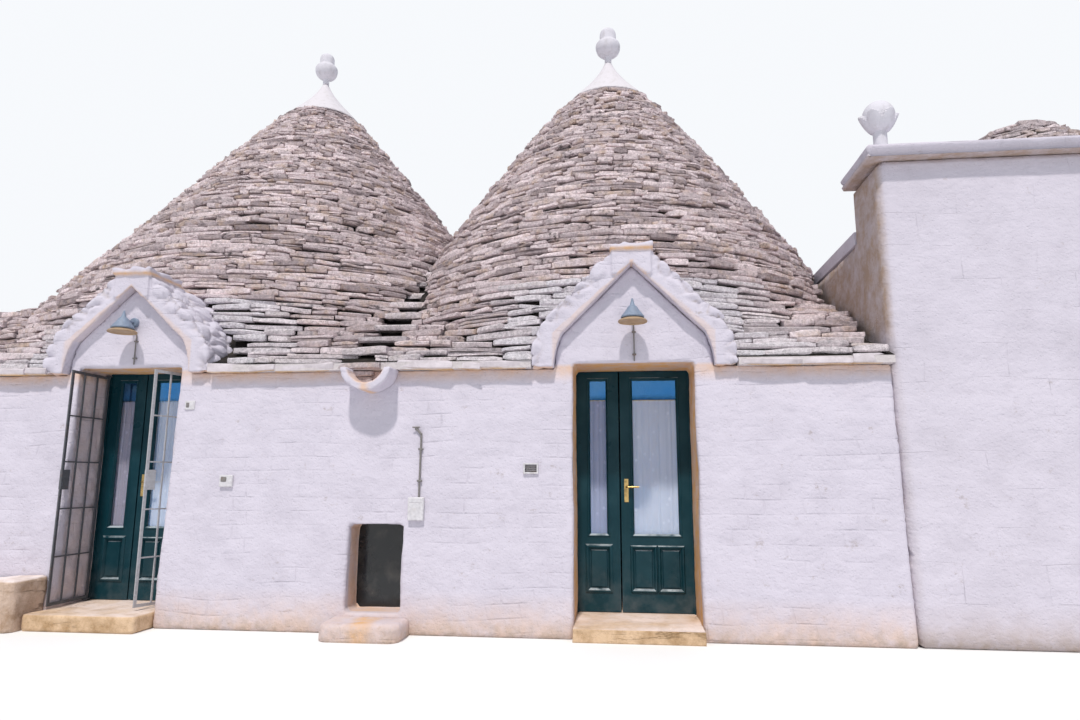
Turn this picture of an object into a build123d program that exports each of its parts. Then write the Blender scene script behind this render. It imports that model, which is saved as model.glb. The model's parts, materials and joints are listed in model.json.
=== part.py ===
from build123d import *
import os
from math import cos, radians, sin

# Trullo house: two square dry-stone cells under conical stone roofs, and a flat-fronted wing beside them.
# X runs along the front to the right, Y into the house, Z up.
# The origin is on the ground, in the front plane, at the middle of the right doorway.
# All sizes are millimetres.

os.makedirs("parts", exist_ok=True)

# Walls
batter = 100
wall_top = 2140
wall_t = 900
cross_wall_half = 450
foot_clear = 200

# The two cells: axis of each cone and its radius where it leaves the walls
left_axis_x = -4640
left_cone_r = 4100
left_apex_z = 7370
left_cone_bulge = 25
right_axis_x = -190
right_cone_r = 3260
right_apex_z = 6930
right_cone_bulge = 135
valley_x = -2300

# Roof
eave_overhang = 80
eave_t = 60
skirt_slope = 0.56
skirt_rise = 1500
vault_cap_r = 300
vault_cap_gap = 1500

# White plaster tip and carved pinnacle
tip_r = 560
tip_h = 670
tip_slope = 0.84
tip_neck_slope = 0.42
tip_neck_r = 46
pinnacle_stem_h = 90
pinnacle_bowl_r = 170
pinnacle_bowl_z = 160
pinnacle_bowl_h = 225
pinnacle_collar_r = 122
pinnacle_collar_h = 18
pinnacle_drum_r = 112
pinnacle_drum_h = 95
pinnacle_dome_h = 95

# Wing
wing_x = 2050
wing_w = 4960
wing_depth = 4700
wing_front_t = 650
wing_wall_t = 500
wing_roof_z = 3350
wing_roof_t = 120
wing_roof_drip = 40
wing_parapet_z = 3860
cornice_t = 110
cornice_out = 100
wing_dome_r = 1650
wing_dome_t = 400
wing_dome_h = 1730
wing_drum_h = 120
wing_dome_bulge = 140
finial_ball_r = 172
finial_neck_r = 95
finial_neck_h = 190
finial_inset = 80

# Doorways
left_door_x = -4470
left_door_w = 970
left_sill_z = 130
left_lintel_z = 2200
left_door_y = 405
right_door_x = 0
right_door_w = 1000
right_sill_z = 100
right_lintel_z = 2180
right_door_y = 510
rebate_w = 80
rebate_h = 90
small_leaf_share = 0.38

# Gables over the doorways
right_gable_half = 655
right_gable_apex_z = 3020
left_gable_half = 595
left_gable_apex_z = 2930
gable_shoulder = 290
gable_shoulder_in = 70
gable_depth = 700
coping_t = 190
coping_out = 80
cap_w = 360
cap_block_w = 330
cap_block_h = 215
cap_seat = 105
cap_t = 55

# Steps and floors
left_step_out = 330
right_step_out = 200
step_side = 20

# Door joinery
frame_w = 80
frame_lip = 12
lip_overlap = 10
leaf_t = 45
leaf_gap = 6
seam_gap = 12
stile_w = 95
top_rail_h = 65
lock_rail_z = 640
bottom_rail_h = 190
lower_panel_top = 540
panel_recess = 12
panel_bevel = 18
glass_t = 6
curtain_t = 10
curtain_lap = 15
curtain_drop = 190
curtain_lift = 40
hinge_r = 8
hinge_len = 90
hinge_off = 9
hinge_play = 0.3
hinge_plate_t = 3
hinge_plate_w = 30
hinge_heights = (250, 1000, 1800)

# Door handle
handle_z = 1060
handle_plate_w = 36
handle_plate_h = 200
handle_plate_t = 6
lever_r = 8
lever_len = 110
lever_bend = 18
lever_out = 45

# Iron grille
grille_bar = 25
grille_t = 12
grille_rod = 12
grille_y = 350
grille_gap = 20
grille_bottom = 25
grille_top_gap = 30
grille_meet = 10
grille_rods = 2
grille_cross_bars = 4
lock_box_w = 90
lock_box_h = 170
lock_box_t = 20
lock_box_z = 1080
left_grille_open = 90
right_grille_open = 68
pintle_t = 10
grille_pin_r = 5
pin_fit = 0.05

# Niche in the front wall
niche_x = -2350
niche_w = 455
niche_z = 160
niche_h = 690
niche_depth = 200
niche_panel_t = 20

# Stone bench on the left and the limed ledge under the niche
bench_x0 = -6150
bench_x1 = -4975
bench_out = 430
bench_h = 400
bench_corner = 60
ledge_w = 640
ledge_out = 420
ledge_h = 130
ledge_corner = 90

# Rainwater spout
spout_x = -2210
spout_w = 430
spout_h = 195
spout_out = 240
spout_channel_w = 320
spout_channel_h = 130

# Lamps on the gables
lamp_plate_r = 45
lamp_plate_t = 15
lamp_arm_r = 10
lamp_out = 150
lamp_z = 2490
lamp_shade_r = 115
lamp_shade_h = 120
lamp_neck_r = 30
lamp_shade_t = 3

# Values that follow from the sizes above
left_axis_y = left_cone_r
right_axis_y = right_cone_r
left_x = left_axis_x - left_cone_r
left_back_y = 2 * left_cone_r
right_back_y = 2 * right_cone_r
springing_z = wall_top + eave_t
wing_end_x = wing_x + wing_w
wing_axis_x = wing_x + wing_w / 2
wing_axis_y = (wing_front_t + wing_depth - wing_wall_t) / 2
wing_roof_top = wing_roof_z + wing_roof_t
frame_t = frame_lip + leaf_gap + leaf_t
left_room = (left_x + wall_t, valley_x - cross_wall_half, wall_t, left_back_y - wall_t)
right_room = (valley_x + cross_wall_half, wing_x - cross_wall_half, wall_t, right_back_y - wall_t)


def span_rectangle(x0, x1, y0, y1, mode=Mode.ADD):
    """Rectangle between two X and two Y values, in the open sketch."""
    with Locations(((x0 + x1) / 2, (y0 + y1) / 2)):
        Rectangle(x1 - x0, y1 - y0, mode=mode)


def span_box(x0, x1, y0, y1, z0, z1, mode=Mode.ADD):
    """Box between two values on each axis, in the open part."""
    with Locations(((x0 + x1) / 2, (y0 + y1) / 2, (z0 + z1) / 2)):
        Box(x1 - x0, y1 - y0, z1 - z0, mode=mode)


def upright(x, y):
    """Upright sketch plane, facing the front, with its origin on a vertical axis."""
    return Plane(origin=(x, y, 0), x_dir=(1, 0, 0), z_dir=(0, -1, 0))


def keep(piece, label):
    """Label a finished piece and write its file."""
    piece.part.label = label
    export_step(piece.part, "parts/" + label + ".step")


# Masonry of the two cells: battered outside, with square rooms, doorways and the niche cut out
def doorway_cuts(x, w, plane_y, lintel_z):
    """Cut one doorway through the front wall, with a rebate behind the door frame."""
    span_box(x - w / 2, x + w / 2, -foot_clear, wall_t, 0, lintel_z, Mode.SUBTRACT)
    span_box(x - w / 2 - rebate_w, x + w / 2 + rebate_w, plane_y, wall_t, 0, lintel_z, Mode.SUBTRACT)


with BuildPart() as cell_walls:
    with BuildSketch(Plane.XY):
        span_rectangle(left_x - batter, valley_x, -batter, left_back_y + batter)
    with BuildSketch(Plane.XY.offset(wall_top)):
        span_rectangle(left_x, valley_x, 0, left_back_y)
    loft()
    with BuildSketch(Plane.XY):
        span_rectangle(valley_x, wing_x, -batter, right_back_y + batter)
    with BuildSketch(Plane.XY.offset(wall_top)):
        span_rectangle(valley_x, wing_x, 0, right_back_y)
    loft()
    span_box(*left_room, 0, wall_top, Mode.SUBTRACT)
    span_box(*right_room, 0, wall_top, Mode.SUBTRACT)
    doorway_cuts(left_door_x, left_door_w, left_door_y, left_lintel_z)
    doorway_cuts(right_door_x, right_door_w, right_door_y, right_lintel_z)
    span_box(niche_x, niche_x + niche_w, -foot_clear, niche_depth, niche_z, niche_z + niche_h, Mode.SUBTRACT)


def wall_piece(label, source, outline, top):
    """One stretch of wall: the part of the masonry that stands on an outline."""
    with BuildPart() as piece:
        add(source.part)
        with BuildSketch(Plane.XY):
            with BuildLine():
                Polyline(*outline, close=True)
            make_face()
        extrude(amount=top, mode=Mode.INTERSECT)
    keep(piece, label)
    return piece


def plan_box(x0, x1, y0, y1):
    """Corners of a rectangle in plan."""
    return ((x0, y0), (x1, y0), (x1, y1), (x0, y1))


front_y = -foot_clear
left_face = left_x - foot_clear
wall_piece("front_wall_left", cell_walls, plan_box(left_face, left_door_x, front_y, wall_t), wall_top)
wall_piece("front_wall_middle", cell_walls, plan_box(left_door_x, niche_x - cross_wall_half, front_y, wall_t), wall_top)
wall_piece("niche_wall", cell_walls, plan_box(niche_x - cross_wall_half, niche_x + niche_w + cross_wall_half, front_y,
                                              wall_t), wall_top)
wall_piece("front_wall_bay", cell_walls, plan_box(niche_x + niche_w + cross_wall_half, right_door_x, front_y, wall_t),
           wall_top)
wall_piece("front_wall_right", cell_walls, plan_box(right_door_x, wing_x, front_y, wall_t), wall_top)
wall_piece("left_end_wall", cell_walls, plan_box(left_face, left_room[0], wall_t, left_room[3]), wall_top)
wall_piece("back_wall_left", cell_walls, plan_box(left_face, valley_x, left_room[3], left_back_y + foot_clear),
           wall_top)
cross_outline = (
    (left_room[1], wall_t),
    (right_room[0], wall_t),
    (right_room[0], right_room[3]),
    (valley_x, right_room[3]),
    (valley_x, left_room[3]),
    (left_room[1], left_room[3]),
)
wall_piece("cross_wall", cell_walls, cross_outline, wall_top)
wall_piece("back_wall_right", cell_walls, plan_box(valley_x, wing_x, right_room[3], right_back_y + foot_clear),
           wall_top)
wall_piece("party_wall", cell_walls, plan_box(right_room[1], wing_x, wall_t, right_room[3]), wall_top)

# Wing walls: the front stands up as a parapet, the others stop under the roof slab
with BuildPart() as wing_walls:
    with BuildSketch(Plane.XY):
        span_rectangle(wing_x, wing_end_x + batter, -batter, wing_depth + batter)
    with BuildSketch(Plane.XY.offset(wall_top)):
        span_rectangle(wing_x, wing_end_x, 0, wing_depth)
    loft()
    span_box(wing_x, wing_end_x, 0, wing_depth, wall_top, wing_roof_z)
    span_box(wing_x, wing_end_x, 0, wing_front_t, wing_roof_z, wing_parapet_z)
    span_box(wing_x + wing_wall_t, wing_end_x - wing_wall_t, wing_front_t, wing_depth - wing_wall_t, 0, wing_roof_z,
             Mode.SUBTRACT)

wing_face = wing_end_x + foot_clear
wing_back = wing_depth + foot_clear
wall_piece("wing_front_wall", wing_walls, plan_box(wing_x, wing_face, front_y, wing_front_t), wing_parapet_z)
wall_piece("wing_left_wall", wing_walls, plan_box(wing_x, wing_x + wing_wall_t, wing_front_t, wing_back), wing_roof_z)
wall_piece("wing_right_wall", wing_walls, plan_box(wing_end_x - wing_wall_t, wing_face, wing_front_t, wing_back),
           wing_roof_z)
wall_piece("wing_back_wall", wing_walls, plan_box(wing_x + wing_wall_t, wing_end_x - wing_wall_t,
                                                  wing_depth - wing_wall_t, wing_back), wing_roof_z)


# Gables: a whitewashed face over each doorway, inside a raking coping that carries a cap
def gable_outline(x, half, apex_z, mode=Mode.ADD):
    """Gable face in the open sketch: bowed shoulders, then straight slopes to the apex."""
    with BuildLine() as outline:
        Line((x - half, wall_top), (x + half, wall_top))
        ThreePointArc((x + half, wall_top), (x + half - gable_shoulder_in / 4, wall_top + gable_shoulder / 2),
                      (x + half - gable_shoulder_in, wall_top + gable_shoulder))
        Line((x + half - gable_shoulder_in, wall_top + gable_shoulder), (x, apex_z))
        Line((x, apex_z), (x - half + gable_shoulder_in, wall_top + gable_shoulder))
        ThreePointArc((x - half + gable_shoulder_in, wall_top + gable_shoulder),
                      (x - half + gable_shoulder_in / 4, wall_top + gable_shoulder / 2), (x - half, wall_top))
    make_face(outline.edges(), mode=mode)


def gable_envelope(x, half, apex_z):
    """Everything the gable and its coping take out of the roof."""
    with BuildPart() as envelope:
        with BuildSketch(Plane.XZ.offset(foot_clear)):
            gable_outline(x, half, apex_z)
            offset(amount=coping_t, kind=Kind.INTERSECTION)
        extrude(amount=-foot_clear - gable_depth)
    return envelope


def gable_face(label, x, half, apex_z, w, plane_y, lintel_z):
    """The gable's face, over the doorway's flat lintel."""
    with BuildPart() as face:
        with BuildSketch(Plane.XZ):
            gable_outline(x, half, apex_z)
        extrude(amount=-gable_depth)
        span_box(x - w / 2, x + w / 2, 0, gable_depth, wall_top, lintel_z, Mode.SUBTRACT)
        span_box(x - w / 2 - rebate_w, x + w / 2 + rebate_w, plane_y, gable_depth, wall_top, lintel_z + rebate_h,
                 Mode.SUBTRACT)
    keep(face, label)


def gable_coping(label, x, half, apex_z):
    """The raking stones that edge the gable, with the block and slab on top."""
    block_z = apex_z - cap_seat
    slab_z = block_z + cap_block_h
    with BuildPart() as coping:
        with BuildSketch(Plane.XZ.offset(coping_out)):
            gable_outline(x, half, apex_z)
            offset(amount=coping_t, kind=Kind.INTERSECTION)
            span_rectangle(x - 2 * half, x + 2 * half, wall_top - 2 * coping_t, wall_top, Mode.SUBTRACT)
        extrude(amount=-coping_out - gable_depth)
        span_box(x - half, x + half, -coping_out, gable_depth, slab_z, apex_z + 2 * coping_t, Mode.SUBTRACT)
        span_box(x - cap_block_w / 2, x + cap_block_w / 2, -coping_out - step_side, cap_block_w, block_z, slab_z)
        with BuildSketch(Plane.XZ.offset(coping_out + step_side)):
            gable_outline(x, half, apex_z)
        extrude(amount=-coping_out - step_side - gable_depth, mode=Mode.SUBTRACT)
        span_box(x - cap_w / 2, x + cap_w / 2, -coping_out - 2 * step_side, cap_w, slab_z, slab_z + cap_t)
    keep(coping, label)


left_gable_cut = gable_envelope(left_door_x, left_gable_half, left_gable_apex_z)
right_gable_cut = gable_envelope(right_door_x, right_gable_half, right_gable_apex_z)
gable_face("left_gable", left_door_x, left_gable_half, left_gable_apex_z, left_door_w, left_door_y, left_lintel_z)
gable_face("right_gable", right_door_x, right_gable_half, right_gable_apex_z, right_door_w, right_door_y,
           right_lintel_z)
gable_coping("left_coping", left_door_x, left_gable_half, left_gable_apex_z)
gable_coping("right_coping", right_door_x, right_gable_half, right_gable_apex_z)


# Conical roofs: a corbelled hollow cone that blends to the square eave through a low stone skirt
def cone_profile(axis_r, base_z, top_r, top_z, bulge, foot_z):
    """Half section of a cone with a bowed side, on a straight foot, in the open sketch."""
    with BuildLine() as section:
        Polyline((0, top_z), (0, foot_z), (axis_r, foot_z), (axis_r, base_z))
        ThreePointArc((axis_r, base_z), ((axis_r + top_r) / 2 + bulge, (base_z + top_z) / 2), (top_r, top_z))
        Line((top_r, top_z), (0, top_z))
    make_face(section.edges())


def vault(axis_x, axis_y, cone_r, apex_z, bulge, x_min, x_max):
    """The hollow under a cone: one wall's thickness inside it, closed by flat slabs at its top."""
    inner_r = cone_r - wall_t
    with BuildPart() as hollow:
        with BuildSketch(upright(axis_x, axis_y)):
            cone_profile(inner_r, springing_z, vault_cap_r, apex_z - vault_cap_gap, bulge, wall_top)
        revolve(axis=Axis((axis_x, axis_y, 0), (0, 0, 1)))
        with BuildSketch(Plane.XY.offset(wall_top)):
            span_rectangle(x_min, x_max, axis_y - inner_r, axis_y + inner_r)
        extrude(amount=apex_z - wall_top, mode=Mode.INTERSECT)
    return hollow


def roof(label, axis_x, axis_y, cone_r, apex_z, bulge, hollow, gable_cut, eave, passage, trims):
    """One cell's roof: eave slab, skirt and cone in one mass of dry stone, over its vault."""
    top_z = apex_z - tip_h
    half = cone_r + eave_overhang
    inset = skirt_rise / skirt_slope
    with BuildPart() as stone:
        with BuildSketch(Plane.XY.offset(wall_top)):
            span_rectangle(axis_x - half, axis_x + half, axis_y - half, axis_y + half)
        extrude(amount=eave_t)
        with BuildSketch(Plane.XY.offset(springing_z)):
            span_rectangle(axis_x - half, axis_x + half, axis_y - half, axis_y + half)
        with BuildSketch(Plane.XY.offset(springing_z + skirt_rise)):
            span_rectangle(axis_x - half + inset, axis_x + half - inset, axis_y - half + inset, axis_y + half - inset)
        loft()
        with BuildSketch(upright(axis_x, axis_y)):
            cone_profile(cone_r, springing_z, tip_r, top_z, bulge, wall_top)
        revolve(axis=Axis((axis_x, axis_y, 0), (0, 0, 1)))
        with BuildSketch(Plane.XY.offset(wall_top)):
            span_rectangle(*eave)
        extrude(amount=apex_z, mode=Mode.INTERSECT)
        add(hollow.part, mode=Mode.SUBTRACT)
        add(gable_cut.part, mode=Mode.SUBTRACT)
        span_box(*passage, Mode.SUBTRACT)
        for trim in trims:
            span_box(*trim, Mode.SUBTRACT)
    keep(stone, label)
    return stone


def passage_box(x, w, lintel_z):
    """The head of a doorway behind its gable, where the open leaves swing."""
    return (x - w / 2 - rebate_w, x + w / 2 + rebate_w, 0, wall_t + 2 * rebate_w, wall_top, lintel_z + rebate_h)


left_hollow = vault(left_axis_x, left_axis_y, left_cone_r, left_apex_z, left_cone_bulge, left_room[0], left_room[1])
right_hollow = vault(right_axis_x, right_axis_y, right_cone_r, right_apex_z, right_cone_bulge, right_room[0],
                     right_room[1])
left_eave = (left_x - eave_overhang, valley_x, -eave_overhang, left_back_y + eave_overhang)
right_eave = (valley_x, wing_x + wing_wall_t, -eave_overhang, right_back_y + eave_overhang)
over_wing = (wing_x, wing_x + 2 * wing_wall_t, -foot_clear, right_back_y + foot_clear, wall_top, wing_roof_top)
left_cone = roof("left_cone", left_axis_x, left_axis_y, left_cone_r, left_apex_z, left_cone_bulge, left_hollow,
                 left_gable_cut, left_eave, passage_box(left_door_x, left_door_w, left_lintel_z), ())
right_cone = roof("right_cone", right_axis_x, right_axis_y, right_cone_r, right_apex_z, right_cone_bulge, right_hollow,
                  right_gable_cut, right_eave, passage_box(right_door_x, right_door_w, right_lintel_z), (over_wing,))


# White plaster tip, drawn up in a hollow curve to the pinnacle
def tip(label, axis_x, axis_y, apex_z):
    """The plastered top of a cone."""
    base_z = apex_z - tip_h
    with BuildPart() as plaster:
        with BuildSketch(upright(axis_x, axis_y)):
            with BuildLine():
                Line((0, apex_z), (0, base_z))
                Line((0, base_z), (tip_r, base_z))
                Spline((tip_r, base_z), (tip_neck_r, apex_z), tangents=((-tip_slope, 1), (-tip_neck_slope, 1)))
                Line((tip_neck_r, apex_z), (0, apex_z))
            make_face()
        revolve(axis=Axis((axis_x, axis_y, 0), (0, 0, 1)))
    keep(plaster, label)


def pinnacle(label, axis_x, axis_y, apex_z):
    """Carved stone pinnacle: a stem, a round bowl, a collar and a domed drum."""
    bowl_z = apex_z + pinnacle_stem_h
    wide_z = bowl_z + pinnacle_bowl_z
    rim_z = bowl_z + pinnacle_bowl_h
    collar_z = rim_z + pinnacle_collar_h
    drum_z = collar_z + pinnacle_drum_h
    top_z = drum_z + pinnacle_dome_h
    with BuildPart() as carved:
        with BuildSketch(upright(axis_x, axis_y)):
            with BuildLine():
                Polyline((0, top_z), (0, apex_z), (tip_neck_r, apex_z), (tip_neck_r, bowl_z))
                Spline((tip_neck_r, bowl_z), (pinnacle_bowl_r, wide_z), tangents=((1, 0.35), (0, 1)))
                Spline((pinnacle_bowl_r, wide_z), (pinnacle_collar_r, rim_z), tangents=((0, 1), (-1, 0.1)))
                Polyline((pinnacle_collar_r, rim_z), (pinnacle_collar_r, collar_z), (pinnacle_drum_r, collar_z),
                         (pinnacle_drum_r, drum_z))
                Spline((pinnacle_drum_r, drum_z), (0, top_z), tangents=((0, 1), (-1, 0)))
            make_face()
        revolve(axis=Axis((axis_x, axis_y, 0), (0, 0, 1)))
    keep(carved, label)


tip("left_tip", left_axis_x, left_axis_y, left_apex_z)
tip("right_tip", right_axis_x, right_axis_y, right_apex_z)
pinnacle("left_pinnacle", left_axis_x, left_axis_y, left_apex_z)
pinnacle("right_pinnacle", right_axis_x, right_axis_y, right_apex_z)

# Wing roof: flat slab with an opening under the low stone dome
with BuildPart() as wing_roof:
    with BuildSketch(Plane.XY.offset(wing_roof_z)):
        span_rectangle(wing_x, wing_end_x + wing_roof_drip, wing_front_t, wing_depth + wing_roof_drip)
        with Locations((wing_axis_x, wing_axis_y)):
            Circle(wing_dome_r - wing_dome_t, mode=Mode.SUBTRACT)
    extrude(amount=wing_roof_t)
keep(wing_roof, "wing_roof")


with BuildPart() as wing_dome:
    with BuildSketch(upright(wing_axis_x, wing_axis_y)):
        cone_profile(wing_dome_r, wing_roof_top + wing_drum_h, vault_cap_r, wing_roof_top + wing_dome_h,
                     wing_dome_bulge, wing_roof_top)
    revolve(axis=Axis((wing_axis_x, wing_axis_y, 0), (0, 0, 1)))
    with BuildSketch(upright(wing_axis_x, wing_axis_y)):
        cone_profile(wing_dome_r - wing_dome_t, wing_roof_top + wing_drum_h, vault_cap_r,
                     wing_roof_top + wing_dome_h - wing_dome_t, wing_dome_bulge, wing_roof_top)
    revolve(axis=Axis((wing_axis_x, wing_axis_y, 0), (0, 0, 1)), mode=Mode.SUBTRACT)
keep(wing_dome, "wing_dome")

with BuildPart() as wing_cornice:
    span_box(wing_x - cornice_out, wing_end_x + cornice_out, -cornice_out, wing_front_t, wing_parapet_z,
             wing_parapet_z + cornice_t)
keep(wing_cornice, "wing_cornice")

with BuildPart() as wing_finials:
    cornice_top = wing_parapet_z + cornice_t
    with Locations((wing_x + finial_inset, finial_inset, cornice_top), (wing_end_x - finial_inset, finial_inset,
                                                                        cornice_top)):
        Cylinder(finial_neck_r, finial_neck_h, align=(Align.CENTER, Align.CENTER, Align.MIN))
    ball_z = cornice_top + finial_neck_h + finial_ball_r * 0.85
    with Locations((wing_x + finial_inset, finial_inset, ball_z), (wing_end_x - finial_inset, finial_inset, ball_z)):
        Sphere(finial_ball_r)
keep(wing_finials, "wing_finials")

# Rainwater spout at the foot of the valley: a round-bottomed stone trough
with BuildPart() as gutter_spout:
    with BuildSketch(Plane.XZ.offset(spout_out)):
        with BuildLine():
            ThreePointArc((spout_x - spout_w / 2, wall_top), (spout_x, wall_top - spout_h),
                          (spout_x + spout_w / 2, wall_top))
            Line((spout_x + spout_w / 2, wall_top), (spout_x + spout_channel_w / 2, wall_top))
            ThreePointArc((spout_x + spout_channel_w / 2, wall_top), (spout_x, wall_top - spout_channel_h),
                          (spout_x - spout_channel_w / 2, wall_top))
            Line((spout_x - spout_channel_w / 2, wall_top), (spout_x - spout_w / 2, wall_top))
        make_face()
    extrude(amount=-spout_out - batter)
    with BuildSketch(Plane.YZ.offset(spout_x - spout_w)):
        with BuildLine():
            Polyline((0, wall_top), (batter, wall_top), (batter, wall_top - 2 * spout_h),
                     (-batter * 2 * spout_h / wall_top, wall_top - 2 * spout_h), close=True)
        make_face()
    extrude(amount=2 * spout_w, mode=Mode.SUBTRACT)
keep(gutter_spout, "gutter_spout")

# Floors of the two rooms, as high as their doorsteps, and the stone doorsteps
with BuildPart() as left_floor:
    span_box(*left_room, 0, left_sill_z)
keep(left_floor, "left_floor")

with BuildPart() as right_floor:
    span_box(*right_room, 0, right_sill_z)
keep(right_floor, "right_floor")


def doorstep(label, x, w, plane_y, sill_z, out):
    """Stone threshold through the wall, with its step in front."""
    with BuildPart() as step:
        span_box(x - w / 2, x + w / 2, -out, wall_t, 0, sill_z)
        span_box(x - w / 2 - rebate_w, x + w / 2 + rebate_w, plane_y, wall_t, 0, sill_z)
    keep(step, label)


doorstep("left_step", left_door_x, left_door_w, left_door_y, left_sill_z, left_step_out)
doorstep("right_step", right_door_x, right_door_w, right_door_y, right_sill_z, right_step_out)

def wall_foot(label, x0, x1, out, height, corner):
    """Rough mass of stone at the foot of the battered front wall, with rounded upper edges."""
    with BuildPart() as mass:
        span_box(x0, x1, -out, 0, 0, height)
        corners = mass.edges().filter_by(Axis.Z).group_by(Axis.Y)[0]
        fillet(corners, corner)
        fillet(mass.faces().sort_by(Axis.Z)[-1].edges().filter_by(lambda e: e.center().Y < -1), corner / 2)
        with BuildSketch(Plane.YZ.offset(x0)):
            with BuildLine():
                Polyline((-batter, 0), (0, wall_top), (batter, wall_top), (batter, 0), close=True)
            make_face()
        extrude(amount=x1 - x0, mode=Mode.SUBTRACT)
    keep(mass, label)


wall_foot("stone_bench", bench_x0, bench_x1, bench_out, bench_h, bench_corner)
wall_foot("wall_foot_ledge", niche_x + niche_w / 2 - ledge_w / 2, niche_x + niche_w / 2 + ledge_w / 2, ledge_out,
          ledge_h, ledge_corner)

# Dark panel that closes the back of the niche
with BuildPart() as niche_panel:
    span_box(niche_x, niche_x + niche_w, niche_depth - niche_panel_t, niche_depth, niche_z, niche_z + niche_h)
keep(niche_panel, "niche_panel")


# Glazed doors: a fixed frame with a narrow and a wide leaf that open inward
def hinge_barrels(x, y, sill_z, side, upper):
    """The half of each hinge that is fixed to the frame (lower) or to the leaf (upper)."""
    plate_dir = side if upper else -side
    z_low = hinge_len / 2 + hinge_play if upper else 0
    half_len = hinge_len / 2 - (hinge_play if upper else 0)
    for h in hinge_heights:
        z = sill_z + h + z_low
        with Locations((x, y, z)):
            Cylinder(hinge_r, half_len, align=(Align.CENTER, Align.CENTER, Align.MIN))
        x_out = x + plate_dir * hinge_plate_w
        span_box(min(x, x_out), max(x, x_out), y - hinge_off, y - hinge_off + hinge_plate_t, z, z + half_len)


def door_frame(label, x, w, y, sill_z, lintel_z):
    """Frame in the wall's rebate, with a thin lip in front of the leaves."""
    outer = w / 2 + rebate_w
    inner = w / 2 + rebate_w - frame_w
    lip_y = y + frame_lip
    with BuildPart() as frame:
        span_box(x - outer, x + outer, y, y + frame_t, sill_z, lintel_z + rebate_h)
        span_box(x - inner, x + inner, y, y + frame_t, sill_z, lintel_z + rebate_h - frame_w, Mode.SUBTRACT)
        lip = inner - lip_overlap
        span_box(x - inner, x + inner, y, lip_y, sill_z, lintel_z + rebate_h - frame_w)
        span_box(x - lip, x + lip, y, lip_y, sill_z, lintel_z + rebate_h - frame_w - lip_overlap, Mode.SUBTRACT)
        hinge_y = y + frame_lip + leaf_gap + leaf_t + hinge_off
        hinge_barrels(x - inner + leaf_gap / 2, hinge_y, sill_z, 1, False)
        hinge_barrels(x + inner - leaf_gap / 2, hinge_y, sill_z, -1, False)
    keep(frame, label)


def door_leaf(name, x0, x1, y, sill_z, top_z, hinge_x, side, panels):
    """One leaf with a glazed upper part and raised panels below, its pane and its curtain."""
    z0 = sill_z + leaf_gap
    glass = (x0 + stile_w, x1 - stile_w, sill_z + lock_rail_z, top_z - top_rail_h)
    with BuildPart() as leaf:
        span_box(x0, x1, y, y + leaf_t, z0, top_z)
        span_box(glass[0], glass[1], y, y + leaf_t, glass[2], glass[3], Mode.SUBTRACT)
        width = (glass[1] - glass[0] - (panels - 1) * stile_w / 2) / panels
        for i in range(panels):
            px = glass[0] + i * (width + stile_w / 2)
            pz = sill_z + bottom_rail_h
            span_box(px, px + width, y, y + panel_recess, pz, sill_z + lower_panel_top, Mode.SUBTRACT)
            with BuildSketch(Plane.XZ.offset(-y - panel_recess)):
                span_rectangle(px + panel_bevel, px + width - panel_bevel, pz + panel_bevel,
                               sill_z + lower_panel_top - panel_bevel)
            extrude(amount=panel_recess * 0.8, taper=35)
        hinge_barrels(hinge_x, y + leaf_t + hinge_off, sill_z, side, True)
    keep(leaf, name + "_leaf")
    with BuildPart() as pane:
        span_box(glass[0], glass[1], y + leaf_t / 2 - glass_t / 2, y + leaf_t / 2 + glass_t / 2, glass[2], glass[3])
    keep(pane, name + "_glass")
    with BuildPart() as curtain:
        span_box(glass[0] - curtain_lap, glass[1] + curtain_lap, y + leaf_t, y + leaf_t + curtain_t,
                 glass[2] + curtain_lift, glass[3] - curtain_drop)
    keep(curtain, name + "_curtain")


def lever(x, y, z, out):
    """Plate and lever on one face of a leaf; out is -1 in front and 1 inside."""
    plate_y = y + out * handle_plate_t
    span_box(x - handle_plate_w / 2, x + handle_plate_w / 2, min(y, plate_y), max(y, plate_y),
             z - handle_plate_h * 0.65, z + handle_plate_h * 0.35)
    arm_y = y + out * lever_out
    with BuildLine() as path:
        FilletPolyline((x, y, z), (x, arm_y, z), (x + lever_len, arm_y, z), radius=lever_bend)
    with BuildSketch(Plane(origin=(x, y, z), z_dir=(0, out, 0))) as section:
        Circle(lever_r)
    sweep(section.sketch, path=path.line)


def door(name, x, w, y, sill_z, lintel_z):
    """Frame, two unequal leaves and the lever handles on the wide one."""
    door_frame(name + "_frame", x, w, y, sill_z, lintel_z)
    inner = w / 2 + rebate_w - frame_w
    leaf_y = y + frame_lip + leaf_gap
    top_z = lintel_z + rebate_h - frame_w - leaf_gap
    seam = x - inner + 2 * inner * small_leaf_share
    door_leaf(name + "_small", x - inner + leaf_gap, seam - seam_gap / 2, leaf_y, sill_z, top_z,
              x - inner + leaf_gap / 2, 1, 1)
    door_leaf(name + "_large", seam + seam_gap / 2, x + inner - leaf_gap, leaf_y, sill_z, top_z,
              x + inner - leaf_gap / 2, -1, 2)
    with BuildPart() as handle:
        handle_x = seam + seam_gap / 2 + stile_w / 2
        lever(handle_x, leaf_y, sill_z + handle_z, -1)
        lever(handle_x, leaf_y + leaf_t, sill_z + handle_z, 1)
    keep(handle, name + "_handle")


door("left_door", left_door_x, left_door_w, left_door_y, left_sill_z, left_lintel_z)
door("right_door", right_door_x, right_door_w, right_door_y, right_sill_z, right_lintel_z)


# Iron grille in the left doorway: two leaves that open outward, drawn open as they stand
grille_z0 = left_sill_z + grille_bottom
grille_z1 = left_lintel_z - grille_top_gap
grille_leaf_w = left_door_w / 2 - grille_gap - grille_meet / 2


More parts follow.
